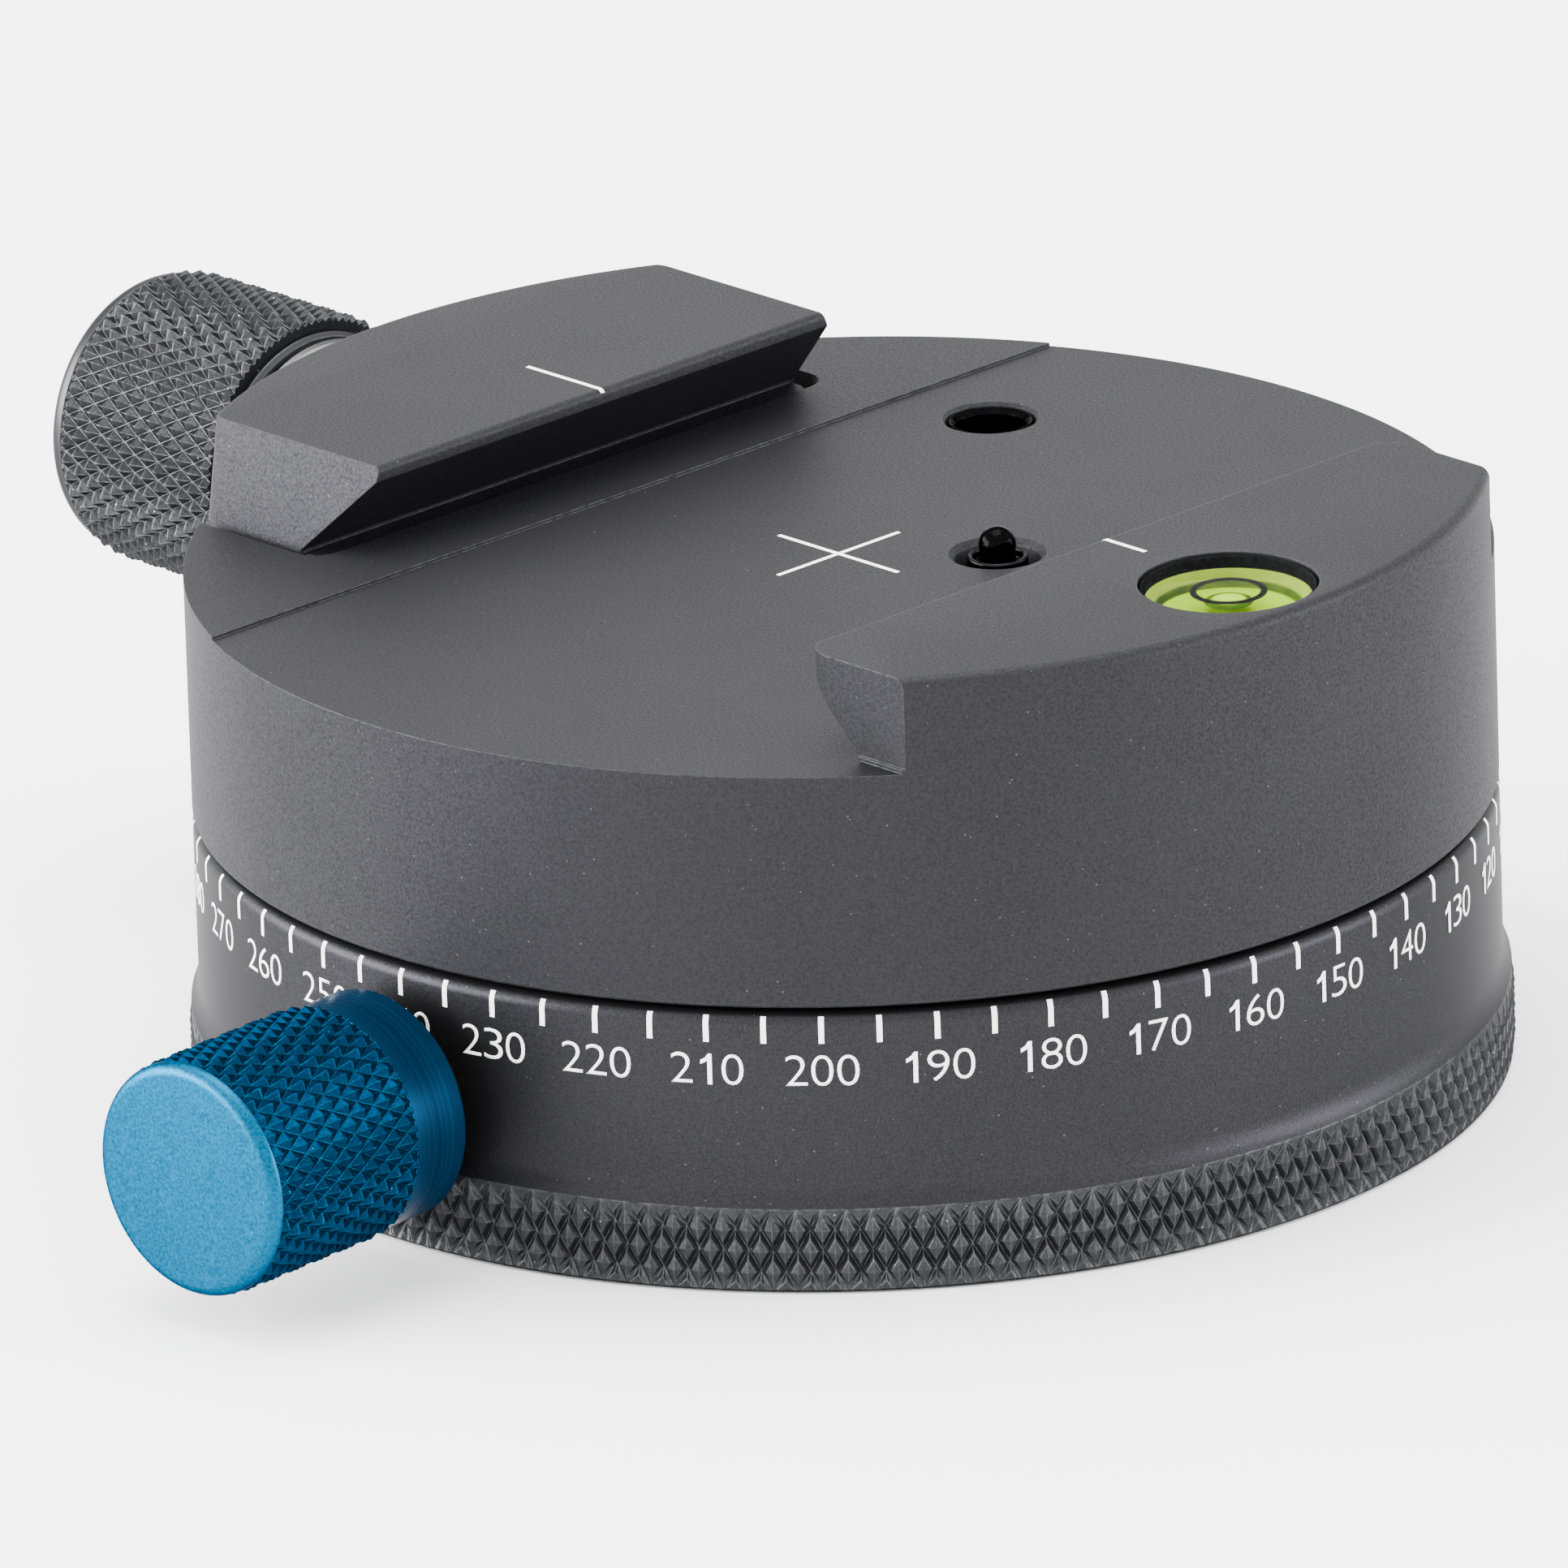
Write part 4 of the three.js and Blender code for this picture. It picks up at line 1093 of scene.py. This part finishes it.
def makeJaw():
    s, r, top = jawSizes, drumSizes["radius"], drumSizes["jawTop"]
    foot, nose, lip, depth = s["foot"], s["nose"], s["lipRounding"], s["footDepth"]
    low, far, over = s["tongueBottom"], r + past, top + past
    jaw = loftPlans("slidingJaw", jawPlan(0), 0.0, jawPlan(1), top)
    combine(jaw, pushOutline("jawFoot", jawPlan(0), -depth, 0.0, "Z"), "UNION")
    outline = [(-far, -depth), (-foot, -depth), (-foot, 0), (-nose, foot - nose)]
    outline += arc(-nose - lip, top - lip, lip, 0, 90, steps=5)
    outline += [(-nose - lip, over), (-far, over)]
    combine(jaw, pushOutline("jawSide", outline, -far, far), "INTERSECT")
    tongue = pocketPlan(far, s["tongueEdge"], s["tongueHalf"], s["tongueCorner"])
    combine(jaw, pushOutline("tongue", tongue, low, s["tongueTop"], "Z"), "UNION")
    rim = [(0, low - past), (r, low - past)] + arc(r - lip, top - lip, lip, 0, 90) + [(0, top)]
    combine(jaw, spinProfile("jawRim", rim, drumSizes["segments"]), "INTERSECT")
    for radius, end in (
        (s["boreRadius"], -nose),
        (s["spotRadius"], s["spotFace"]),
        (s["washerRadius"], s["washerSeat"]),
    ):
        cutAway(jaw, layAlongX(makeBore(radius, -far, end, 96), 0, knobAxes["clampDrop"]))
    holes = drumHoles
    for radius, spread, z, end in (
        (s["pinRadius"], holes["guideSpread"], holes["guideDrop"], s["pinEnd"]),
        (s["springRadius"], holes["springSpread"], holes["springDrop"], s["springEnd"]),
    ):
        for side in (-1, 1):
            cutAway(jaw, layAlongX(makeBore(radius, end, s["innerEnd"], 32), side * spread, z))
    return jaw


wear(smooth(makeJaw(), angle=25), "jawGrey", "jaw", "blasted_grey", "sliding_jaw")
print("the moving jaw is made")


# The base: scale ring and knurled grip band

ringSizes = {
    "radius": 29.5,
    "top": -11.11,
    "topRounding": 0.6,
    "foot": -18.95,
    "footBend": -19.7,
    "gripTop": -20.2,
    "gripRadius": 29.88,
    "gripBore": 28.6,
    "gripFoot": -24.05,
    "bottom": -24.19,
    "bottomRadius": 29.6,
    "wallInside": 23.115,
    "flangeTop": -12.04,
    "flangeBottom": -14.1,
    "flangeBore": 16.225,
    "wallLower": 22.715,
    "plateSeat": -21.19,
    "plateInside": 27.912,
    "lockRadius": 3.3,
    "lockReach": (20, 32),
    "screwCircle": 24.898,
    "screwRadius": 1.55,
    "screwTop": -16.99,
}

gripSizes = {
    "radius": 30.0,
    "start": -24.08,
    "end": -20.0,
    "middle": -22.19,
    "columns": 168,
    "rows": 2,
    "pitch": 2.0,
    "flank": 0.2,
    "rise": 0.3,
    "tip": 0.12,
    "bore": 28.4,
    "lowChamfer": (0.25, 0.22),
    "highChamfer": (0.1, 0.1),
}


def makeRing():
    s = ringSizes
    r, grip, gripTop, rounding = s["radius"], s["gripRadius"], s["gripTop"], s["topRounding"]
    profile = [(s["plateInside"], s["bottom"]), (s["bottomRadius"], s["bottom"])]
    profile += [(grip, s["gripFoot"]), (s["gripBore"], s["gripFoot"]), (s["gripBore"], gripTop)]
    profile += bow((grip, gripTop), (r, s["footBend"]), (r, s["foot"]), steps=8)
    profile += arc(r - rounding, s["top"] - rounding, rounding, 0, 90, steps=8)
    profile += [(s["wallInside"], s["top"]), (s["wallInside"], s["flangeTop"])]
    profile += [(s["flangeBore"], s["flangeTop"]), (s["flangeBore"], s["flangeBottom"])]
    profile += [(s["wallLower"], s["flangeBottom"]), (s["wallLower"], s["plateSeat"])]
    profile += [(s["plateInside"], s["plateSeat"])]
    ring = spinLoop("scaleRing", profile, 256)
    cutAway(ring, place(makeBore(s["lockRadius"], *s["lockReach"], 64), lockPlace))
    for x, y in fourAround(s["screwCircle"]):
        hole = makeBore(s["screwRadius"], s["plateSeat"] - past, s["screwTop"], 24)
        cutAway(ring, moveBy(hole, x, y))
    return ring


scaleRing = smooth(makeRing(), angle=25)
wear(scaleRing, "satinGrey", "base", "turned_grey", "base_ring")
wear(knurledBand("gripBand", gripSizes), "knurlGrey", "base", "turned_grey")
print("the ring and its grip band are made")


# The degree scale

scaleSizes = {
    "zeroAzimuth": 153.26,
    "tickStep": 5,
    "tickWidth": 0.25,
    "tickStart": 46,
    "tickEnd": -12.48,
    "numberStep": 10,
    "numberFoot": -14.47,
    "numberHeight": 1.44,
    "digitWidth": 0.98,
    "digitPitch": 1.157,
    "fontResolution": 5,
    "fontThinner": -0.013,
    # the digit 1 in shares of its height, as the built-in font's is a bare bar
    "one": [
        *((0.02, 0), (0.16, 0), (0.16, 1), (0.05, 1), (-0.06, 0.86)),
        *((-0.2, 0.78), (-0.2, 0.66), (-0.08, 0.71), (0.02, 0.78)),
    ],
    "hover": 0.1,
    "proud": 0.012,
    "thickness": 0.03,
}


def makeTick():
    # starts on the ring's rounded edge and runs down its side
    s, ring = scaleSizes, ringSizes
    rounding, proud = ring["topRounding"], s["proud"]
    x, z = ring["radius"] - rounding, ring["top"] - rounding
    points = arc(x, z, rounding + proud, s["tickStart"], 0)
    points += [(ring["radius"] + proud, s["tickEnd"])]
    return makeStrip("tick", points, s["tickWidth"], s["thickness"])


def makeDigit(digit):
    # one digit flat in X and Y, its foot at 0
    s = scaleSizes
    height, width = s["numberHeight"], s["digitWidth"]
    if digit == "1":
        piece = fillOutline("digit", [(x * height, y * height, 0) for x, y in s["one"]])
        bpy.ops.mesh.quads_convert_to_tris()
        bpy.ops.object.mode_set(mode="OBJECT")
        return piece
    deselect()
    bpy.ops.object.text_add()
    label = bpy.context.object
    label.data.body = digit
    label.data.resolution_u = s["fontResolution"]
    label.data.offset = s["fontThinner"]
    bpy.ops.object.convert(target="MESH")
    label = newPiece("digit")
    xs = [vertex.co.x for vertex in label.data.vertices]
    ys = [vertex.co.y for vertex in label.data.vertices]
    wide, tall = max(xs) - min(xs), max(ys) - min(ys)
    size = Matrix.Diagonal((width * mm / wide, height * mm / tall, 1, 1))
    return place(label, size @ Matrix.Translation((-(max(xs) + min(xs)) / 2, -min(ys), 0)))


def makeNumber(value, digits):
    s, text = scaleSizes, str(value)
    turn = math.radians(s["zeroAzimuth"] - value)
    right = Vector((-math.sin(turn), math.cos(turn), 0))
    out = Vector((math.cos(turn), math.sin(turn), 0))
    facing = Matrix((right, Vector((0, 0, 1)), out)).transposed().to_4x4()
    middle = out * (ringSizes["radius"] + s["hover"]) * mm
    middle += Vector((0, 0, s["numberFoot"] * mm))
    label = []
    for i, digit in enumerate(text):
        along = (i - (len(text) - 1) / 2) * s["digitPitch"] * mm
        where = Matrix.Translation(middle + right * along) @ facing
        label.append(copyPiece(digits[digit], where))
    return label


def makeScale():
    s = scaleSizes
    tick = makeTick()
    ticks = []
    for value in range(0, 360, s["tickStep"]):
        turn = math.radians(s["zeroAzimuth"] - value)
        ticks.append(copyPiece(tick, Matrix.Rotation(turn, 4, "Z")))
    digits = {digit: makeDigit(digit) for digit in "0123456789"}
    labels = []
    for value in range(0, 360, s["numberStep"]):
        labels += makeNumber(value, digits)
    for model in (tick, *digits.values()):
        bpy.data.objects.remove(model)
    numbers = joinPieces("numbers", labels)
    lay = {"target": scaleRing, "wrap_mode": "ABOVE_SURFACE", "offset": s["proud"] * mm}
    applyStep(numbers, "SHRINKWRAP", **lay)
    thicken(numbers, s["thickness"])
    return joinPieces("degreeScale", ticks + [numbers])


wear(makeScale(), "whiteFilling", "base", "turned_grey")
print("the degree scale is engraved")


# White marks on the seat and the two jaws, and a guessed index line over the scale

markSizes = {
    "width": 0.23,
    "crossReach": 3.83,
    "proud": 0.01,
    "thickness": 0.03,
    "fixedEnd": 19.15,
    "fixedPlace": 0.48,
    "movingEnd": -19.95,
    "indexTop": -8.2,
    "indexBottom": -10.7,
}


def makeCross():
    s = markSizes
    w, reach = s["width"] / 2, s["crossReach"]
    outline = []
    for i in range(4):
        c, d = math.cos(quarterTurn * i), math.sin(quarterTurn * i)
        outline += [(x * c - y * d, x * d + y * c) for x, y in ((reach, -w), (reach, w), (w, w))]
    return pushOutline("seatCross", outline, s["proud"] - s["thickness"], s["proud"], "Z")


def makeStroke(name, points):
    return makeStrip(name, points, markSizes["width"], markSizes["thickness"])


def makeMarks():
    s, rounding, top = markSizes, drumSizes["lipRounding"], drumSizes["jawTop"]
    proud, nose = s["proud"], drumSizes["lipNose"] + rounding
    fixed = arc(nose, top - rounding, rounding + proud, 150, 90, steps=5)
    stroke = makeStroke("fixedJawMark", fixed + [(s["fixedEnd"], top + proud)])
    moveBy(stroke, 0, s["fixedPlace"])
    wear(stroke, "whiteFilling", "turning_drum", "blasted_grey")
    nose = -jawSizes["nose"] - rounding
    moving = arc(nose, top - rounding, rounding + proud, 90, 30, steps=5)
    stroke = makeStroke("movingJawMark", [(s["movingEnd"], top + proud)] + moving)
    wear(stroke, "whiteFilling", "jaw", "blasted_grey")
    side = drumSizes["radius"] + proud
    stroke = makeStroke("indexLine", [(side, s["indexTop"]), (side, s["indexBottom"])])
    place(stroke, Matrix.Rotation(math.radians(scaleSizes["zeroAzimuth"]), 4, "Z"))
    wear(stroke, "whiteFilling", "turning_drum", "blasted_grey")
    wear(makeCross(), "whiteFilling", "turning_drum", "blasted_grey")


makeMarks()
print("the marks are filled")


# The clamp knob and its collar, with heights measured outward from the axis

clampKnobSizes = {
    "band": {
        "radius": 6.915,
        "start": 34.45,
        "end": 44.44,
        "columns": 48,
        "rows": 8,
        "pitch": 1.544,
        "flank": 0.32,
        "rise": 0.32,
        "tip": 0.03,
        "bore": 6.0,
        "lowChamfer": (0.2, 0.15),
        "highChamfer": (0.35, 0.5),
    },
    "backStart": 34.1,
    "backRadius": 6.1,
    "backChamfer": 0.2,
    "core": 6.2,
    "coreStart": 34.85,
    "coreEnd": 44.34,
    "endStart": 44.42,
    "end": 45.41,
    "endRadius": 6.62,
    "rounding": 0.85,
    "bore": 2.8,
    "boreEnd": 43.61,
    "collarStart": 29.25,
    "collarEnd": 34.04,
    "collarRadius": 5.85,
    "collarChamfer": 0.25,
    "pinBore": 0.9,
    "pinReach": (-8, 3.4),
    "pinPlace": 31.645,
}


def makeClampKnob():
    s = clampKnobSizes
    band = place(knurledBand("clampKnurl", s["band"]), clampPlace)
    wear(band, "clampGrey", "clamp_handle", "knob_grey")
    bore, start, back, c = s["bore"], s["backStart"], s["backRadius"], s["backChamfer"]
    core, r, end, rounding = s["core"], s["endRadius"], s["end"], s["rounding"]
    profile = [(bore, start), (back - c, start), (back, start + c), (core, s["coreStart"])]
    profile += [(core, s["coreEnd"]), (r, s["endStart"])]
    profile += arc(r - rounding, end - rounding, rounding, 0, 90, steps=8)
    profile += [(0, end), (0, s["boreEnd"]), (bore, s["boreEnd"])]
    body = smooth(place(spinLoop("clampKnob", profile, 160), clampPlace), angle=25)
    wear(body, "knobGrey", "clamp_handle", "knob_grey", "clamp_knob")
    low, high, r, c = s["collarStart"], s["collarEnd"], s["collarRadius"], s["collarChamfer"]
    profile = [(bore, low), (r - c, low), (r, low + c), (r, high - c), (r - c, high), (bore, high)]
    collar = spinLoop("clampCollar", profile, 128)
    cutAway(collar, layAlongX(makeBore(s["pinBore"], *s["pinReach"], 32), 0, s["pinPlace"]))
    smooth(place(collar, clampPlace), angle=25)
    wear(collar, "turnedGrey", "clamp_handle", "knob_grey", "clamp_collar")


makeClampKnob()
print("the clamp knob is knurled")


# The blue lock knob, with heights measured outward from the axis

lockKnobSizes = {
    "band": {
        "radius": 5.5,
        "start": 34.25,
        "end": 43.12,
        "columns": 38,
        "rows": 7,
        "pitch": 1.58,
        "flank": 0.31,
        "rise": 0.26,
        "tip": 0.03,
        "bore": 4.7,
        "lowChamfer": (0.15, 0.1),
        "highChamfer": (0.15, 0.2),
    },
    "start": 31.0,
    "bandRadius": 5.28,
    "bandChamfer": 0.2,
    "bandEnd": 34.3,
    "core": 4.9,
    "coreStart": 34.35,
    "coreEnd": 42.82,
    "stem": 4.8,
    "stemStart": 42.84,
    "stemEnd": 43.07,
    "faceStart": 43.08,
    "faceRadius": 5.38,
    "end": 43.65,
    "rounding": 0.55,
    "bore": 2.3,
    "boreEnd": 41.85,
    "grubPlace": 32.625,
    "grubRadius": 1.15,
    "grubReach": (2, 7),
}


def makeLockKnob():
    s = lockKnobSizes
    grip = place(knurledBand("lockKnurl", s["band"]), lockPlace)
    wear(grip, "knurlBlue", "lock_handle", "blue_anodised")
    bore, start, r, c, core = s["bore"], s["start"], s["bandRadius"], s["bandChamfer"], s["core"]
    profile = [(bore, start), (r - c, start), (r, start + c), (r, s["bandEnd"])]
    profile += [(core, s["coreStart"]), (core, s["coreEnd"]), (0, s["coreEnd"])]
    profile += [(0, s["boreEnd"]), (bore, s["boreEnd"])]
    body = spinLoop("lockKnob", profile, 128)
    cutAway(body, layAlongX(makeBore(s["grubRadius"], *s["grubReach"], 32), 0, s["grubPlace"]))
    smooth(place(body, lockPlace), angle=25)
    wear(body, "bandBlue", "lock_handle", "blue_anodised", "lock_knob")
    stem, r, end, rounding = s["stem"], s["faceRadius"], s["end"], s["rounding"]
    profile = [(0, s["stemStart"]), (stem, s["stemStart"]), (stem, s["stemEnd"])]
    profile += [(r, s["faceStart"])]
    profile += arc(r - rounding, end - rounding, rounding, 0, 90, steps=8) + [(0, end)]
    face = smooth(place(spinLoop("lockKnobFace", profile, 160), lockPlace), angle=25)
    wear(face, "faceBlue", "lock_handle", "blue_anodised")


makeLockKnob()
print("the lock knob is knurled")


# The bubble level in the fixed jaw

levelSizes = {
    "place": 24.8,
    "cupRadius": 3.95,
    "cupTop": 4.3,
    "cupBottom": 0.5,
    "cupFloor": 2.72,
    "cupEdge": 0.06,
    "opening": 3.85,
    "lensSeat": 3.78,
    "wall": 3.74,
    "wallTop": 3.76,
    # the fluid's outline, from its foot up its wall and back down to its floor
    "fluid": [
        *((3.72, 2.77), (3.72, 3.75), (3.6, 3.73)),
        *((3.34, 3.35), (3.14, 3.06), (3.08, 3.02)),
    ],
    "bubbleRadius": 1.1,
    "bubbleHeight": 3.37,
    "bubbleDepth": 0.28,
    "bubbleSteps": 12,
    "ringRadius": 1.73,
    "ringWidth": 0.3,
    "ringUnder": (0.06, 0.02),
    "lensTop": 4.03,
    "lensRadius": 3.82,
    "lensThickness": 0.25,
    "lensEdge": (0.1, 0.05),
    "lensCrown": 0.03,
}


def makeLevel():
    s = levelSizes
    r, top, e, opening, wall = s["cupRadius"], s["cupTop"], s["cupEdge"], s["opening"], s["wall"]
    profile = [(0, s["cupBottom"]), (r, s["cupBottom"]), (r, top - e), (r - e, top)]
    profile += [(opening + e, top), (opening, top - e), (opening, s["lensSeat"])]
    profile += [(wall, s["wallTop"]), (wall, s["cupFloor"]), (0, s["cupFloor"])]
    cup = smooth(moveBy(spinLoop("levelCup", profile, 128), s["place"]), angle=25)
    wear(cup, "levelBlack", "turning_drum", "level_black", "level_cup")
    profile = [(0, s["fluid"][0][1])] + s["fluid"] + [(0, s["fluid"][-1][1])]
    pool = smooth(moveBy(spinLoop("levelPool", profile, 128), s["place"]), angle=40)
    wear(pool, "levelFluid", "turning_drum", "level_fluid", "level_fluid")
    r, z, d, steps = s["bubbleRadius"], s["bubbleHeight"], s["bubbleDepth"] / 2, s["bubbleSteps"]
    turns = [math.pi * i / steps for i in range(1, steps + 1)]
    profile = [(0, z)] + [(r * math.sin(t), z + d - d * math.cos(t)) for t in turns]
    bubble = smooth(moveBy(spinProfile("levelBubble", profile, 64), s["place"]), angle=60)
    wear(bubble, "levelBubble", "turning_drum", "level_fluid")
    r, z = s["ringRadius"], s["lensTop"]
    inner, low, high = r - s["ringWidth"], z - s["ringUnder"][0], z - s["ringUnder"][1]
    profile = [(inner, low), (r, low), (r, high), (inner, high)]
    mark = moveBy(spinLoop("levelRing", profile, 96), s["place"])
    wear(mark, "levelBlack", "turning_drum", "level_black")
    r, (edge, drop), bottom = s["lensRadius"], s["lensEdge"], z - s["lensThickness"]
    profile = [(0, bottom), (r, bottom), (r, z - drop), (r - edge, z), (0, z + s["lensCrown"])]
    lens = smooth(moveBy(spinProfile("levelLens", profile, 96), s["place"]), angle=30)
    wear(lens, "clearLens", "turning_drum", "clear_lens", "level_lens")


makeLevel()
print("the level is filled")


# The sprung stop pin in its threaded sleeve

pinSizes = {
    "radius": 0.85,
    "height": 1.25,
    "headStart": -8,
    "shaftRadius": 0.82,
    "shaftTop": 0.15,
    "foot": -3.0,
    "footRadius": 1.1,
    "footTop": -1.6,
    "sleeveRadius": 1.85,
    "sleeveBottom": -8.7,
    "sleeveFloor": -8.1,
    "sleeveBore": 1.2,
    "sleeveTop": -0.95,
    "rimFoot": 1.44,
    "rimOuter": 1.38,
    "rimInner": 1.14,
    "rimShoulder": -0.38,
    "rimTop": -0.08,
    "guide": 0.93,
    "guideTop": -0.5,
    "guideBottom": -1.5,
    # two screwdriver slots in the sleeve: corners, and turn in radians
    "slotLow": (1.48, -0.2, -1.45),
    "slotHigh": (2.2, 0.2, -0.75),
    "slotTurn": 0.6,
}


def boxBetween(name, low, high):
    deselect()
    size = [(h - l) * mm for l, h in zip(low, high)]
    middle = [(h + l) / 2 * mm for l, h in zip(low, high)]
    bpy.ops.mesh.primitive_cube_add(size=1, location=middle, scale=size)
    applyTransform()
    return newPiece(name)


def makePin():
    s, hole = pinSizes, drumHoles["pinHole"]
    r, shaft, foot, height = s["radius"], s["shaftRadius"], s["footRadius"], s["height"]
    profile = [(0, s["foot"]), (foot, s["foot"]), (foot, s["footTop"]), (shaft, s["footTop"])]
    profile += [(shaft, s["shaftTop"])] + arc(0, height - r, r, s["headStart"], 90, steps=12)
    pin = moveBy(spinProfile("stopPin", profile, 64), hole["x"], hole["y"])
    wear(smooth(pin, angle=50), "blackSteel", "pin", "black_steel", "stop_pin")


def makeSleeve():
    s, hole = pinSizes, drumHoles["pinHole"]
    r, bore, guide = s["sleeveRadius"], s["sleeveBore"], s["guide"]
    outer, inner, top = s["rimOuter"], s["rimInner"], s["rimTop"]
    profile = [(0, s["sleeveBottom"]), (r, s["sleeveBottom"]), (r, s["sleeveTop"])]
    profile += [(s["rimFoot"], s["sleeveTop"]), (outer, s["rimShoulder"])]
    rim = (outer - inner) / 2
    profile += arc((outer + inner) / 2, top - rim, rim, 0, 180, steps=8)
    profile += [(inner, s["guideTop"]), (guide, s["guideTop"]), (guide, s["guideBottom"])]
    profile += [(bore, s["guideBottom"]), (bore, s["sleeveFloor"]), (0, s["sleeveFloor"])]
    sleeve = spinLoop("pinSleeve", profile, 64)
    for turn in (s["slotTurn"], s["slotTurn"] + math.pi):
        slot = boxBetween("sleeveSlot", s["slotLow"], s["slotHigh"])
        cutAway(sleeve, place(slot, Matrix.Rotation(turn, 4, "Z")))
    smooth(moveBy(sleeve, hole["x"], hole["y"]), angle=35)
    wear(sleeve, "darkSteel", "turning_drum", "black_steel", "pin_sleeve")


coilSizes = {"wire": 0.22, "turns": 5, "steps": 24, "sides": 12, "pressed": 1.25}


def makePinCoil():
    # the coil under the pin, as long as the CAD spring
    s, hole = coilSizes, drumHoles["pinHole"]
    low, high = [Vector(corner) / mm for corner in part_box("pin_spring")]
    wire, radius = s["wire"], (high.x - low.x) / 2 - s["wire"]
    deselect()
    bpy.ops.mesh.primitive_circle_add(
        vertices=s["sides"],
        radius=wire * mm,
        location=(radius * mm, 0, (low.z + wire) * mm),
        rotation=(quarterTurn, 0, 0),
    )
    applyTransform()
    coil = newPiece("pinCoil")
    rise = (high.z - low.z - 2 * wire) / s["turns"] * mm
    turns = {"iterations": s["turns"], "steps": s["steps"], "render_steps": s["steps"]}
    applyStep(coil, "SCREW", angle=2 * math.pi, screw_offset=rise, **turns)
    editAll()
    bpy.ops.mesh.fill_holes(sides=0)
    closeMesh()
    moveBy(smooth(coil, angle=60), hole["x"], hole["y"])
    wear(coil, "springSteel", "turning_drum", "spring_steel", "pin_spring")
    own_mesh(coil)


makePin()
makeSleeve()
makePinCoil()
print("the stop pin is made")


# A dark threaded insert in the spare hole

insertSizes = {
    "radius": 1.96,
    "bottom": -7.8,
    "bottomEdge": 0.15,
    "floor": -6.9,
    "bore": 1.62,
    "threadDepth": 0.22,
    "threadPitch": 0.7,
    "threadStart": -6.6,
    "threadEnd": -1.22,
    "mouth": (0.24, 0.25),
    "top": -0.12,
    "topEdge": (0.08, 0.1),
}


def makeInsert():
    s, hole = insertSizes, drumHoles["spareHole"]
    r, bore, top, bottom, e = s["radius"], s["bore"], s["top"], s["bottom"], s["bottomEdge"]
    (mouthOut, mouthDown), (edgeIn, edgeDown) = s["mouth"], s["topEdge"]
    span = (s["threadStart"], s["threadEnd"], s["threadPitch"])
    thread, _ = threadWall(bore + s["threadDepth"], bore, *span)
    profile = [(0, bottom), (r - e, bottom), (r, bottom + e), (r, top - edgeDown)]
    profile += [(r - edgeIn, top), (bore + mouthOut, top), (bore, top - mouthDown)]
    profile += thread[::-1] + [(bore, s["floor"]), (0, s["floor"])]
    insert = moveBy(spinLoop("spareThread", profile, 64), hole["x"], hole["y"])
    wear(smooth(insert, angle=25), "blackSteel", "turning_drum", "black_steel")


makeInsert()
print("the spare hole has its insert")


# The underside: bottom plate and threaded bush

underSizes = {
    "plateRadius": 27.612,
    "plateInside": 7.3,
    "plateBottom": -24.19,
    "plateTop": -21.49,
    "edgeBreak": 0.25,
    "screwCircle": 24.898,
    "sinkRadius": 2.5,
    "sinkWall": 0.6125,
    "screwRadius": 1.55,
    "bushRadius": 7.0,
    "bushEdge": 0.2,
    "bushTop": -13.63,
    "flangeRadius": 9.6,
    "flangeBottom": -21.19,
    "flangeTop": -19.59,
    "threadRadius": 4.76,
    "threadDepth": 0.55,
    "threadPitch": 1.5875,
    "threadTop": -15.03,
    "threadEnd": -23.29,
    "threadMouth": 0.5,
}


def makePlate():
    s = underSizes
    low, high, r, inside = s["plateBottom"], s["plateTop"], s["plateRadius"], s["plateInside"]
    c, sink, wall, shank = s["edgeBreak"], s["sinkRadius"], s["sinkWall"], s["screwRadius"]
    profile = [(inside, low + c), (inside + c, low), (r - c, low), (r, low + c)]
    plate = spinLoop("bottomPlate", profile + [(r, high), (inside, high)], 192)
    for x, y in fourAround(s["screwCircle"]):
        profile = [(0, low - past), (sink, low - past), (sink, low + wall)]
        profile += [(shank, low + wall + sink - shank), (shank, high + past), (0, high + past)]
        cutAway(plate, moveBy(spinProfile("sink", profile, 48), x, y))
    wear(smooth(plate, angle=25), "turnedPlate", "base", "turned_grey", "base_plate")


def makeBush():
    s = underSizes
    low, bore, pitch = s["plateBottom"], s["threadRadius"], s["threadPitch"]
    mouth = s["threadMouth"]
    r, e, flange = s["bushRadius"], s["bushEdge"], s["flangeRadius"]
    span = (s["threadTop"], s["threadEnd"] + pitch, pitch)
    thread, height = threadWall(bore, bore - s["threadDepth"], *span)
    profile = [(0, s["threadTop"])] + thread + [(bore, height), (bore, low + mouth)]
    profile += [(bore + mouth, low), (r - e, low), (r, low + e), (r, s["flangeBottom"])]
    profile += [(flange, s["flangeBottom"]), (flange, s["flangeTop"]), (r, s["flangeTop"])]
    bush = spinProfile("tripodBush", profile + [(r, s["bushTop"]), (0, s["bushTop"])], 96)
    wear(smooth(bush, angle=25), "brightSteel", "base", "bright_steel", "tripod_bush")


makePlate()
makeBush()
print("the underside is made")


# Finishes of the CAD nodes that stay

screws = [f"{kind}_screw_{i}" for kind in ("plate", "hub") for i in (1, 2, 3, 4)]
nodeFinishes = {
    "turnedPlate": ["hub"],
    "brightSteel": ["lock_screw", "thrust_washer", "clamp_spindle", "guide_pin_1", "guide_pin_2"],
    "blackSteel": ["lock_grub_screw", "clamp_cross_pin"] + screws,
    "springSteel": ["wave_washer", "return_spring_1", "return_spring_2"],
    "turnedBrass": ["lock_bush"],
    "slidePlastic": ["upper_glide", "lower_glide"],
    "brakePlastic": ["lock_shoe"],
}

for finish, nodes in nodeFinishes.items():
    for node in nodes:
        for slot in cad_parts[node].material_slots:
            slot.material = finishes[finish]
print("the inner pieces have their finishes")
